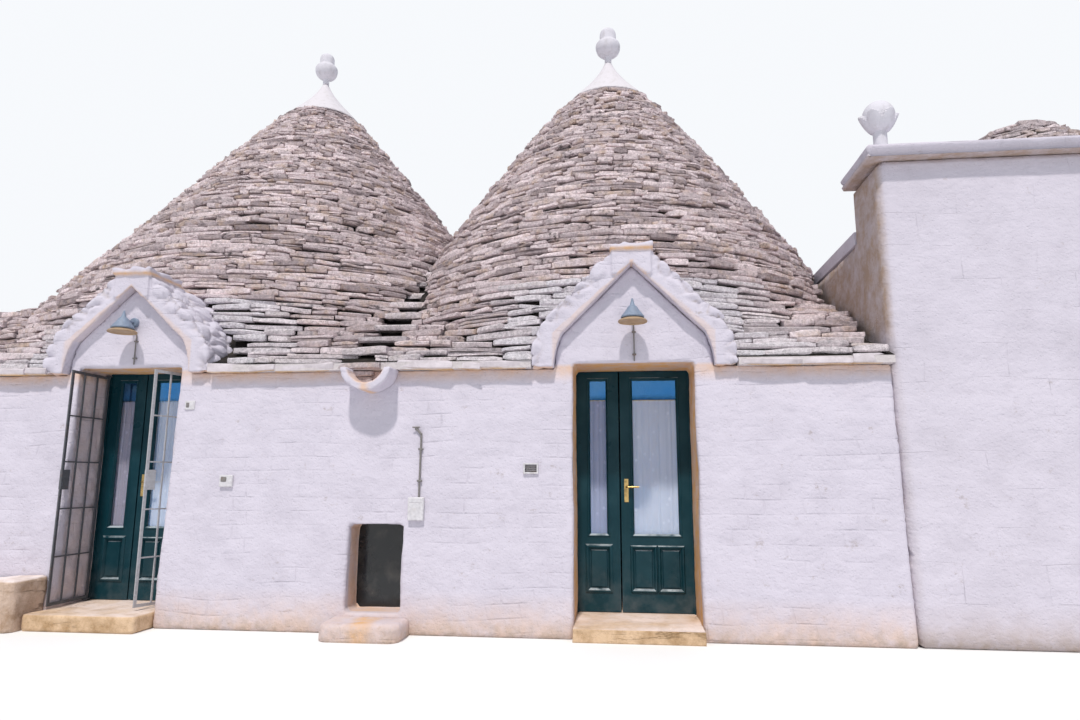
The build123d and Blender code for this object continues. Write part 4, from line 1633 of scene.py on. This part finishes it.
def front_stains(points: np.ndarray, normals: np.ndarray) -> np.ndarray:
    """Ochre on the front walls: under the eave, and in the reveals of the doorways and the niche.

    Args:
        points: places on the walls.
        normals: which way they face.

    Returns:
        Amount of ochre at each place.
    """
    drip, head = 0.12, 2.34
    under_eave = np.clip((points[:, 2] - EAVE_FOOT + drip) / drip, 0.0, 1.0) * 0.6
    under_eave *= points[:, 2] < EAVE_FOOT + 0.02
    reveal = np.zeros(len(points))
    for side, amount in ((Side.LEFT, 0.20), (Side.RIGHT, 1.0)):
        low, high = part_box(f"{side.value}_step")
        middle = (low.x + high.x) / 2
        half = (high.x - low.x) / 2
        inside = (np.abs(points[:, 0] - middle) < half + 0.03) & (points[:, 1] > 0.02) & (points[:, 2] < head)
        soffit = inside & (normals[:, 2] < -0.5)
        reveal = np.maximum(reveal, np.maximum(inside * amount, soffit * 1.0))
    low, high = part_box("niche_panel")
    niche = (np.abs(points[:, 0] - (low.x + high.x) / 2) < (high.x - low.x) / 2 + 0.02) & (points[:, 1] > 0.0)
    niche &= points[:, 2] < high.z + 0.02
    return np.maximum(np.maximum(under_eave, reveal), niche * 0.6)


def niche_drip(points: np.ndarray, normals: np.ndarray) -> np.ndarray:
    """Ochre in the middle of the ledge, where the niche drips on it.

    Args:
        points: places on the piece.
        normals: which way they face; not used.

    Returns:
        Amount of ochre at each place.
    """
    low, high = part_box("niche_panel")
    across = (points[:, 0] - (low.x + high.x) / 2) / 0.13
    return np.exp(-across ** 2) * 0.9


def spout_drip(points: np.ndarray, normals: np.ndarray) -> np.ndarray:
    """Ochre along the bottom of the spout and inside it.

    Args:
        points: places on the piece.
        normals: which way they face.

    Returns:
        Amount of ochre at each place.
    """
    low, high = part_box("gutter_spout")
    middle = np.exp(-((points[:, 0] - (low.x + high.x) / 2) / 0.035) ** 2)
    inside = np.clip(normals[:, 2], 0.0, 1.0) * (points[:, 2] < high.z - 0.02)
    return np.maximum(middle * 0.8, inside * 0.8)


def wing_stains(points: np.ndarray, normals: np.ndarray) -> np.ndarray:
    """Ochre on the wing: its side above the cell's roof, and under its cornice.

    Args:
        points: places on the piece.
        normals: which way they face.

    Returns:
        Amount of ochre at each place.
    """
    low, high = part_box("wing_front_wall")
    side = (normals[:, 0] < -0.5) * np.clip((points[:, 2] - 2.2) / 0.3, 0.0, 1.0) * 0.85
    under = np.clip((points[:, 2] - high.z + 0.05) / 0.05, 0.0, 1.0) * 0.5
    corner = np.exp(-((points[:, 0] - low.x) / 0.04) ** 2) * 0.25
    return np.maximum(np.maximum(side, under), corner)


def under_edge(points: np.ndarray, normals: np.ndarray) -> np.ndarray:
    """Ochre where a slab faces down or meets its lower edge.

    Args:
        points: places on the piece.
        normals: which way they face.

    Returns:
        Amount of ochre at each place.
    """
    edge = np.clip((points[:, 2].min() + 0.022 - points[:, 2]) / 0.02, 0.0, 0.8)
    return np.maximum(np.clip(-normals[:, 2] * 1.5 - 0.4, 0.0, 0.8), edge)


# Small pieces


def around(centre: Point, profile: Sequence[tuple[float, float]], steps: int = 28) -> list[list[Point]]:
    """Rings of a shape turned about an upright axis.

    Args:
        centre: foot of the axis.
        profile: radius and height of each ring, from the bottom up.
        steps: points in a ring.

    Returns:
        The rings.
    """
    turns = [2.0 * math.pi * i / steps for i in range(steps)]
    return [[(centre[0] + r * math.cos(t), centre[1] + r * math.sin(t), centre[2] + z) for t in turns]
            for r, z in profile]


@dataclass
class SmallWork:
    """Closed shapes for fittings, gathered into one piece."""

    draft: MeshDraft = field(default_factory=MeshDraft)
    tone: Tone = PLAIN_TONE

    def skin(self, rings: Sequence[Sequence[Point]]) -> None:
        """Add a shape skinned over rings."""
        vertices, faces = quads_to_shape(rings)
        self.draft.add(vertices, faces, [self.tone] * len(vertices))

    def rod(self, start: Point, end: Point, radius: float, steps: int = 12) -> None:
        """Add a round bar.

        Args:
            start: middle of its first end.
            end: middle of its other end.
            radius: its radius.
            steps: sides of the bar.
        """
        a, b = Vector(start), Vector(end)
        ahead = (b - a).normalized()
        u = ahead.orthogonal().normalized()
        v = ahead.cross(u)
        rings = []
        for place, share in ((a, 0.8), (a + ahead * radius * 0.2, 1.0), (b - ahead * radius * 0.2, 1.0), (b, 0.8)):
            turns = [2.0 * math.pi * i / steps for i in range(steps)]
            rings.append([tuple(place + radius * share * (math.cos(t) * u + math.sin(t) * v)) for t in turns])
        self.skin(rings)

    def block(self, low: Point, high: Point, bevel: float) -> None:
        """Add a block whose front edges are bevelled.

        Args:
            low: its lowest corner, in front.
            high: its highest corner, at the back.
            bevel: width of the bevels.
        """
        rings = []
        for y, inset in ((high[1], 0.0), (low[1] + bevel, 0.0), (low[1], bevel)):
            x0, x1, z0, z1 = low[0] + inset, high[0] - inset, low[2] + inset, high[2] - inset
            c = bevel * 0.6
            rings.append([(x0 + c, y, z0), (x1 - c, y, z0), (x1, y, z0 + c), (x1, y, z1 - c), (x1 - c, y, z1),
                          (x0 + c, y, z1), (x0, y, z1 - c), (x0, y, z0 + c)])
        self.skin(rings)

    def frame(self, x0: float, x1: float, z0: float, z1: float, profile: Sequence[tuple[float, float]]) -> None:
        """Add a mitred moulding round a rectangle.

        Args:
            x0: its left edge.
            x1: its right edge.
            z0: its lower edge.
            z1: its upper edge.
            profile: distance inward and y of each point round the section.
        """
        count = len(profile)
        vertices: list[Point] = []
        for right, upper in ((False, False), (True, False), (True, True), (False, True)):
            for d, y in profile:
                vertices.append((x1 - d if right else x0 + d, y, z1 - d if upper else z0 + d))
        faces = []
        for corner in range(4):
            here, there = corner * count, (corner + 1) % 4 * count
            for i in range(count):
                j = (i + 1) % count
                faces.append((here + i, there + i, there + j, here + j))
        self.draft.add(vertices, faces, [self.tone] * len(vertices))

    def finish(self, name: str, material: bpy.types.Material, slot: str, body: str = HOUSE) -> bpy.types.Object:
        """Make the piece.

        Args:
            name: its name.
            material: its finish.
            slot: the record's material slot; not used.
            body: the body it rides on.

        Returns:
            The piece.
        """
        piece = self.draft.make(name, material, body)
        return piece


@dataclass
class CarvedFinials:
    """A stone ball in a cup of leaves, on each front corner of the wing's parapet."""

    palette: Palette
    ball_r: float = 0.130
    neck_r: float = 0.056
    drop: float = 0.045
    leaves: int = 6
    leaf_low: float = 0.062
    leaf_rise: float = 0.072
    clear: float = 0.010
    plinth: float = 0.022
    steps: int = 60
    levels: int = 50

    def one(self, work: SmallWork, x: float, y: float, base: float, top: float, reach: float) -> None:
        """Add one finial.

        Args:
            work: gathers the shapes.
            x: middle of the finial.
            y: middle of the finial.
            base: height of its foot.
            top: height of its crown.
            reach: how far the leaves' tips stand from the middle.
        """
        crown = top - self.drop
        centre = crown - self.ball_r
        foot = centre - 1.15 * self.ball_r
        opening = reach - self.clear - self.neck_r
        rings = []
        for level in range(self.levels):
            z = base + (crown - 0.0005 - base) * level / (self.levels - 1)
            lift = (z - centre) / self.ball_r
            ball = self.ball_r * math.sqrt(max(1.0 - lift * lift, 0.0))
            open_up = min(max((z - foot) / (centre - foot), 0.0), 1.0)
            ring = []
            for t in self.turns():
                petal = abs(math.cos(self.leaves * t / 2.0 + 0.4)) ** 0.8
                cup = self.neck_r + opening * open_up ** 0.55 * (0.86 + 0.14 * petal)
                wide = cup if z < centre - self.leaf_low + self.leaf_rise * petal else ball
                plinth = self.plinth * math.exp(-(z - base) / 0.02)
                ring.append((x + (wide + plinth) * math.cos(t), y + (wide + plinth) * math.sin(t), z))
            rings.append(ring)
        work.skin(rings)

    def turns(self) -> list[float]:
        """Angles round a finial."""
        return [2.0 * math.pi * i / self.steps for i in range(self.steps)]

    def build(self) -> bpy.types.Object:
        """Carve both finials.

        Returns:
            The finials as one piece.
        """
        low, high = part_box("wing_finials")
        reach = (high.y - low.y) / 2
        work = SmallWork()
        for x in (low.x + reach, high.x - reach):
            self.one(work, x, (low.y + high.y) / 2, low.z, high.z, reach)
        made = work.finish("carved_finials", self.palette.carved, "carved_stone")
        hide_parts("wing_finials")
        return made


@dataclass
class GableLamps:
    """A flat dish lamp on an arm over each doorway, with the conduit that feeds it."""

    palette: Palette
    z: float = 2.49
    out: float = 0.15
    arm_up: float = 0.12
    cable_r: float = 0.006
    cable_y: float = -0.014
    dish: Sequence[tuple[float, float]] = ((0.02, 0.022), (0.108, 0.010), (0.118, 0.0), (0.121, 0.006), (0.112, 0.018),
                                           (0.074, 0.034), (0.05, 0.040))
    body: Sequence[tuple[float, float]] = ((0.070, 0.030), (0.094, 0.036), (0.096, 0.046), (0.078, 0.070),
                                           (0.056, 0.098), (0.040, 0.126), (0.022, 0.142), (0.016, 0.160),
                                           (0.006, 0.20))

    def build(self) -> list[bpy.types.Object]:
        """Make the lamps.

        Returns:
            The dishes, the bodies with their arms, and the conduits.
        """
        dishes, bodies, conduits = SmallWork(), SmallWork(), SmallWork()
        for side, shift, foot in ((Side.RIGHT, 0.011, 2.19), (Side.LEFT, 0.04, 2.225)):
            x, arm = GABLES[side].centre, self.z + self.arm_up
            lead = x + shift
            bend = (lead, self.cable_y, self.z + 0.01)
            dishes.skin(around((x, -self.out, self.z), self.dish))
            bodies.skin(around((x, -self.out, self.z), self.body))
            bodies.rod((x, -self.out, arm), (x, -0.006, arm), 0.010)
            bodies.rod((x, -0.022, arm), (x, 0.012, arm), 0.045, 24)
            conduits.rod((lead, self.cable_y, foot), bend, self.cable_r)
            conduits.rod(bend, (x, -0.02, self.z + 0.08), self.cable_r)
            for clip in (foot + 0.05, self.z - 0.06):
                conduits.block((lead - 0.016, -0.022, clip), (lead + 0.016, 0.01, clip + 0.014), 0.003)
        shown = dishes.finish("gable_lamp_dishes", self.palette.lamp_dish, "lamp_metal")
        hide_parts("gable_lamps")
        return [shown, bodies.finish("gable_lamp_bodies", self.palette.lamp_metal, "lamp_metal"),
                conduits.finish("lamp_conduits", self.palette.rod, "lamp_metal")]


@dataclass
class WallFittings:
    """The small boxes, the vent and the pipe on the front wall."""

    palette: Palette
    batter: float = 0.10
    wall_top: float = EAVE_FOOT
    boxes: Sequence[Sequence[float]] = ((-3.903, -3.812, 1.815, 1.895, 0.016),
                                        (-3.507, -3.39, 1.151, 1.252, 0.030),
                                        (-1.851, -1.718, 0.889, 1.075, 0.040),
                                        (-1.845, -1.724, 1.030, 1.070, 0.046))
    covers: Sequence[Sequence[float]] = ((-3.890, -3.860, 1.835, 1.878, 0.022),
                                         (-3.492, -3.440, 1.195, 1.238, 0.036))
    vent: Sequence[float] = (-0.906, -0.781, 1.266, 1.355)
    louvres: int = 4
    pipe_x: float = -1.767
    pipe_foot: float = 1.075
    pipe_top: float = 1.600
    clips: Sequence[float] = (1.20, 1.46)

    def face(self, z: float) -> float:
        """Y of the battered wall's face at a height."""
        return -self.batter * (1.0 - z / self.wall_top)

    def box(self, work: SmallWork, x0: float, x1: float, z0: float, z1: float, out: float) -> None:
        """Add a bevelled box that stands out of the wall.

        Args:
            work: gathers the shapes.
            x0: its left edge.
            x1: its right edge.
            z0: its lower edge.
            z1: its upper edge.
            out: how far it stands out.
        """
        y = self.face((z0 + z1) / 2)
        work.block((x0, y - out, z0), (x1, y + 0.03, z1), min(0.006, out / 3))

    def build(self) -> list[bpy.types.Object]:
        """Make the fittings.

        Returns:
            The boxes, the dark parts and the pipe.
        """
        boxes, dark, pipe = SmallWork(), SmallWork(), SmallWork()
        for row in self.boxes:
            self.box(boxes, *row)
        for row in self.covers:
            self.box(dark, *row)
        x0, x1, z0, z1 = self.vent
        y = self.face(z0)
        boxes.frame(x0, x1, z0, z1, ((0.0, y + 0.02), (0.0, y - 0.014), (0.004, y - 0.018), (0.014, y - 0.014),
                                     (0.016, y + 0.02)))
        for louvre in range(self.louvres):
            z = z0 + 0.018 + louvre * 0.017
            dark.block((x0 + 0.014, y - 0.010, z), (x1 - 0.014, y + 0.02, z + 0.010), 0.004)
        x, top = self.pipe_x, self.pipe_top
        elbow, wall = x - 0.043, self.face(top)
        pipe.rod((x, self.face(1.116) - 0.016, self.pipe_foot), (x, wall - 0.016, top), 0.008)
        pipe.rod((x, wall - 0.018, top - 0.01), (elbow, wall - 0.022, top + 0.045), 0.010)
        pipe.rod((elbow, wall - 0.022, top + 0.035), (elbow, wall + 0.02, top + 0.045), 0.014)
        pipe.rod((x - 0.075, wall - 0.030, top + 0.050), (x - 0.012, wall - 0.030, top + 0.050), 0.006)
        for z in self.clips:
            y = self.face(z)
            pipe.block((x - 0.02, y - 0.026, z), (x + 0.02, y + 0.02, z + 0.016), 0.003)
        return [boxes.finish("wall_boxes", self.palette.fitting, "lamp_metal"),
                dark.finish("wall_box_covers", self.palette.rod, "lamp_metal"),
                pipe.finish("wall_pipe", self.palette.rod, "lamp_metal")]


# Doors


@dataclass
class DoorLeaf:
    """Beads, panel mouldings and the curtain of one glazed leaf."""

    side: Side
    leaf: Leaf
    palette: Palette
    panel_foot: float = 0.19
    panel_top: float = 0.54
    panel_gap: float = 0.0475
    face_out: float = 0.0195
    fold: float = 0.0048
    fold_width: float = 0.042
    thread: float = 0.0042
    rows: int = 26
    hem_drop: float = 0.030
    hem_wave: float = 0.006
    rod_r: float = 0.0045

    def __post_init__(self) -> None:
        """Read the leaf and its pane from the frame."""
        self.body = f"{self.side.value}_door_{self.leaf.value}"
        self.low, self.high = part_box(f"{self.body}_leaf")
        self.pane_low, self.pane_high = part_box(f"{self.body}_glass")
        self.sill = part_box(f"{self.side.value}_step")[1].z

    def panels(self) -> list[tuple[float, float]]:
        """Left and right edges of the lower panels.

        Returns:
            One pair for a small leaf, two for a large one.
        """
        x0, x1 = self.pane_low.x, self.pane_high.x
        if self.leaf is Leaf.SMALL:
            return [(x0, x1)]
        half = (x1 - x0 - self.panel_gap) / 2
        return [(x0, x0 + half), (x1 - half, x1)]

    def joinery(self) -> bpy.types.Object:
        """The glazing beads and the panels' mouldings.

        Returns:
            The piece, on its leaf.
        """
        work = SmallWork()
        pane = self.pane_low.y
        y = pane - self.face_out
        x0, x1, z0, z1 = self.pane_low.x, self.pane_high.x, self.pane_low.z, self.pane_high.z
        work.frame(x0, x1, z0, z1, ((-0.010, y + 0.001), (-0.010, y - 0.003), (-0.004, y - 0.006), (0.003, y - 0.005),
                                    (0.010, y + 0.004), (0.017, y + 0.012), (0.018, pane), (-0.001, pane)))
        for left, right in self.panels():
            z0, z1 = self.sill + self.panel_foot, self.sill + self.panel_top
            reach = 0.030 if self.leaf is Leaf.SMALL else 0.0225
            work.frame(left, right, z0, z1, ((-reach, y + 0.001), (-reach + 0.001, y - 0.004), (-0.014, y - 0.013),
                                             (-0.006, y - 0.013), (0.001, y - 0.005), (0.010, y + 0.009),
                                             (0.010, y + 0.013), (-0.001, y + 0.011)))
        return work.finish(f"{self.body}_mouldings", self.palette.paint, "door_wood", self.body)

    def curtain(self) -> list[bpy.types.Object]:
        """The gathered curtain behind the pane, and the rod that it hangs from.

        Returns:
            The curtain and its rod.
        """
        node = f"{self.body}_curtain"
        low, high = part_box(node)
        middle = (low.y + high.y) / 2
        width = high.x - low.x
        columns = max(int(width / self.thread), 8)
        rng = np.random.default_rng(len(self.body) + 7)
        share = np.linspace(0.0, 1.0, columns + 1)
        wander = 1.6 * np.cumsum(np.convolve(rng.normal(0.0, 0.30, columns + 1), np.ones(5) / 5, "same"))
        wide_fold = 0.45 + 0.55 * np.abs(np.convolve(rng.normal(0.0, 1.6, columns + 1), np.ones(9) / 9, "same"))
        wide_fold = np.minimum(wide_fold, 1.0)
        phase = 2.0 * math.pi * share * width / self.fold_width + wander
        vertices: list[Point] = []
        hem = low.z - self.hem_drop
        for row in range(self.rows + 1):
            rise = row / self.rows
            depth = self.fold * (0.75 + 0.25 * rise)
            for i, along in enumerate(share):
                scallop = self.hem_wave * abs(math.sin(phase[i] / 2.0)) * (row == 0)
                z = hem + (high.z - hem) * rise + scallop
                vertices.append((low.x + width * along, middle + depth * wide_fold[i] * math.sin(phase[i]), z))
        wide = columns + 1
        faces = [(r * wide + c, r * wide + c + 1, (r + 1) * wide + c + 1, (r + 1) * wide + c)
                 for r in range(self.rows) for c in range(columns)]
        draft = MeshDraft()
        draft.add(vertices, faces, [PLAIN_TONE] * len(vertices))
        cloth = self.palette.lace if self.leaf is Leaf.LARGE else self.palette.voile
        made = draft.make(f"{self.body}_gathered_curtain", cloth, self.body, 180.0)
        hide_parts(node)
        rod = SmallWork()
        rod.rod((low.x - 0.012, middle, high.z), (high.x + 0.012, middle, high.z), self.rod_r)
        for x in (low.x - 0.006, high.x + 0.006):
            rod.rod((x, middle, high.z), (x, self.high.y - 0.002, high.z), 0.004)
        bar = rod.finish(f"{self.body}_curtain_rod", self.palette.brass, "brass", self.body)
        return [made, bar]

    def build(self) -> list[bpy.types.Object]:
        """Make the leaf's pieces."""
        return [self.joinery(), *self.curtain()]


# Stage


@dataclass
class Studio:
    """Pale floor, soft lamps and the camera at the photograph's angle."""

    place: Point = (-0.135, -5.9, 1.21)
    yaw: float = -6.2
    pitch: float = 9.6
    roll: float = 0.17
    focal_px: float = 715.0
    width_px: float = 1080.0
    sensor: float = 36.0
    floor_reach: float = 160.0
    floor_tone: float = 0.82
    sky: Colour = (0.80, 0.86, 0.95)
    sky_strength: float = 0.66
    backdrop: Colour = (0.93, 0.95, 0.98)
    sun_colour: Colour = (1.0, 0.965, 0.91)
    sun_energy: float = 2.7
    sun_width: float = 3.0
    sun_aim: Point = (0.03, 0.50, -0.90)

    def camera(self) -> None:
        """Put the camera where the photograph was taken from."""
        yaw, pitch, roll = (math.radians(v) for v in (self.yaw, self.pitch, self.roll))
        ahead = Vector((math.sin(yaw) * math.cos(pitch), math.cos(yaw) * math.cos(pitch), math.sin(pitch)))
        level = Vector((math.cos(yaw), -math.sin(yaw), 0.0))
        raised = level.cross(ahead)
        right = math.cos(roll) * level + math.sin(roll) * raised
        up = -math.sin(roll) * level + math.cos(roll) * raised
        data = bpy.data.cameras.new("camera")
        data.sensor_width = self.sensor
        data.lens = self.focal_px / self.width_px * self.sensor
        data.clip_start = 0.05
        data.clip_end = 400.0
        matrix = Matrix((right, up, -ahead)).transposed().to_4x4()
        matrix.translation = Vector(self.place)
        made = put("camera", data)
        made.matrix_world = matrix
        bpy.context.scene.camera = made

    def floor(self) -> None:
        """Lay the pale floor under the house."""
        mesh = bpy.data.meshes.new("studio_floor")
        reach = self.floor_reach
        mesh.from_pydata([(-reach, -reach, 0.0), (reach, -reach, 0.0), (reach, reach, 0.0), (-reach, reach, 0.0)],
                         [], [(0, 1, 2, 3)])
        g = Graph("studio_floor")
        g.shader.inputs["Base Color"].default_value = (*[self.floor_tone] * 3, 1.0)
        g.shader.inputs["Roughness"].default_value = 0.9
        mesh.materials.append(g.material)
        made = put("studio_floor", mesh)

    def lamps(self) -> None:
        """Light the house from high in front, with a pale sky all round."""
        world = bpy.data.worlds.new("studio")
        bpy.context.scene.world = world
        world.use_nodes = True
        nodes, links = world.node_tree.nodes, world.node_tree.links
        background = nodes["Background"]
        background.inputs["Color"].default_value = (*self.sky, 1.0)
        background.inputs["Strength"].default_value = self.sky_strength
        seen = nodes.new("ShaderNodeBackground")
        seen.inputs["Color"].default_value = (*self.backdrop, 1.0)
        seen.inputs["Strength"].default_value = 1.0
        path = nodes.new("ShaderNodeLightPath")
        mixed = nodes.new("ShaderNodeMixShader")
        either = nodes.new("ShaderNodeMath")
        either.operation = "MAXIMUM"
        links.new(path.outputs["Is Camera Ray"], either.inputs[0])
        links.new(path.outputs["Is Transmission Ray"], either.inputs[1])
        links.new(either.outputs[0], mixed.inputs[0])
        links.new(background.outputs[0], mixed.inputs[1])
        links.new(seen.outputs[0], mixed.inputs[2])
        links.new(mixed.outputs[0], nodes["World Output"].inputs["Surface"])
        sun = bpy.data.lights.new("key", "SUN")
        sun.energy = self.sun_energy
        sun.angle = math.radians(self.sun_width)
        sun.color = self.sun_colour
        made = put("key", sun)
        made.rotation_mode = "QUATERNION"
        made.rotation_quaternion = Vector(self.sun_aim).to_track_quat("-Z", "Y")

    def build(self) -> None:
        """Set the whole stage."""
        self.camera()
        self.floor()
        self.lamps()
        bpy.context.scene.view_settings.view_transform = "Standard"


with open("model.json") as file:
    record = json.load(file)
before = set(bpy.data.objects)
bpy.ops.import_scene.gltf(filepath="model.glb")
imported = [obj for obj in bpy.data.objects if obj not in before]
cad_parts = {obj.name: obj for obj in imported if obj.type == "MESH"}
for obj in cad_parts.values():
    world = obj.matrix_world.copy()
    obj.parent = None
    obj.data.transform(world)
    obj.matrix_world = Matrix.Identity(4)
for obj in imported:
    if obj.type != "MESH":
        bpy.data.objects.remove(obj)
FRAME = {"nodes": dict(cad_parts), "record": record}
GABLES = {side: GableShape.of(side) for side in Side}
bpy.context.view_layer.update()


def masonry(palette: Palette) -> list[RoughMasonry]:
    """Everything that is laid, plastered or carved by hand.

    Args:
        palette: the finishes.

    Returns:
        The pieces to make.
    """
    front = ("front_wall_left", "front_wall_middle", "niche_wall", "front_wall_bay", "front_wall_right", "left_gable",
             "right_gable")
    rear = ("left_end_wall", "back_wall_left", "cross_wall", "back_wall_right", "party_wall")
    wing = ("wing_front_wall", "wing_left_wall", "wing_right_wall", "wing_back_wall")
    lime = palette.limewash
    made: list[RoughMasonry] = [
        RoughMasonry("front_walls", front, lime, 0.0285, 0.012, "whitewash", 21, stain=front_stains,
                     rough_reveal=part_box("left_door_frame")[0].x + FRAME_IN_REVEAL),
        RoughMasonry("rear_walls", rear, lime, 0.085, 0.014, "whitewash", 22),
        RoughMasonry("wing_walls", wing, palette.render, 0.070, 0.009, "wing_render", 23, groove=0.0015,
                     stain=wing_stains),
        CorniceSlab("wing_coping", ("wing_cornice",), palette.render, 0.033, 0.006, "wing_render", 24, groove=0.0,
                    lump=0.3, stain=under_edge),
        RoughMasonry("spout_stone", ("gutter_spout",), lime, 0.011, 0.010, "whitewash", 25, groove=0.0, lump=0.12,
                     stain=spout_drip),
        RoughMasonry("niche_ledge", ("wall_foot_ledge",), lime, 0.016, 0.026, "whitewash", 26, groove=0.0, lump=0.28,
                     foot_rise=0.06, stain=niche_drip),
        RoughMasonry("bench_stones", ("stone_bench",), palette.bench, 0.020, 0.040, "step_stone", 27, groove=0.0,
                     lump=0.3, foot_rise=0.10),
    ]
    for number, side in enumerate(Side):
        name = side.value
        door_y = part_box(f"{name}_door_frame")[0].y
        made.append(CopingStones(f"{name}_coping_stones", (f"{name}_coping",), lime, 0.0155, 0.008, "whitewash",
                                 31 + number, groove=0.0, lump=0.3, side=side))
        made.append(RoughMasonry(f"{name}_tip_plaster", (f"{name}_tip",), palette.plaster, 0.025, 0.008, "plaster",
                                 33 + number, groove=0.0, lump=0.3))
        made.append(RoughMasonry(f"{name}_carved_pinnacle", (f"{name}_pinnacle",), palette.carved, 0.0125, 0.004,
                                 "carved_stone", 35 + number, groove=0.0, lump=0.1))
        made.append(RoughMasonry(f"{name}_doorstep", (f"{name}_step",), palette.worn, 0.020, 0.010, "step_stone",
                                 37 + number, groove=0.0, lump=0.25, foot_rise=0.06, calm_y=door_y - 0.01))
    return made


def report(pieces: Iterable[bpy.types.Object]) -> None:
    """Log the pieces that were made."""
    for piece in pieces:
        log.info("%s: %d faces", piece.name, len(piece.data.polygons))


def main() -> None:
    """Build the house, piece by piece."""
    logging.basicConfig(level=logging.INFO, format="%(message)s")
    palette = Palette()
    Studio().build()
    log.info("stage set")
    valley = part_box("right_cone")[0].x
    roofs = (LeftRoof(Side.LEFT, palette, 0.025, valley, 11), RightRoof(Side.RIGHT, palette, 0.135, valley, 12),
             DomeRoof(Side.RIGHT, palette, 0.14, valley, 13))
    for roof in roofs:
        report(roof.build())
    for walls in masonry(palette):
        report([walls.build()])
    report([CarvedFinials(palette).build(), *GableLamps(palette).build(), *WallFittings(palette).build()])
    for side in Side:
        for leaf in Leaf:
            report(DoorLeaf(side, leaf, palette).build())
    finishes = {
        "whitewash": palette.limewash, "roof_stone": palette.slabs, "plaster": palette.plaster,
        "carved_stone": palette.carved, "step_stone": palette.worn, "floor_stone": palette.worn,
        "wing_render": palette.render, "door_wood": palette.paint, "door_glass": palette.glass,
        "lace": palette.lace, "brass": palette.brass, "iron": palette.dark_iron, "dark_panel": palette.niche,
        "lamp_metal": palette.lamp_metal,
    }
    # the cones and the dome, under their slabs, take the near-black painted shade of the core
    cores = {"left_cone", "right_cone", "wing_dome"}
    for entry in FRAME["record"]["subparts"]:
        finish = palette.core if entry["node"] in cores else finishes[entry["material_slot"]]
        dress(entry["node"], finish)
    dress("grille_right", palette.pale_iron)


if __name__ == "__main__":
    main()
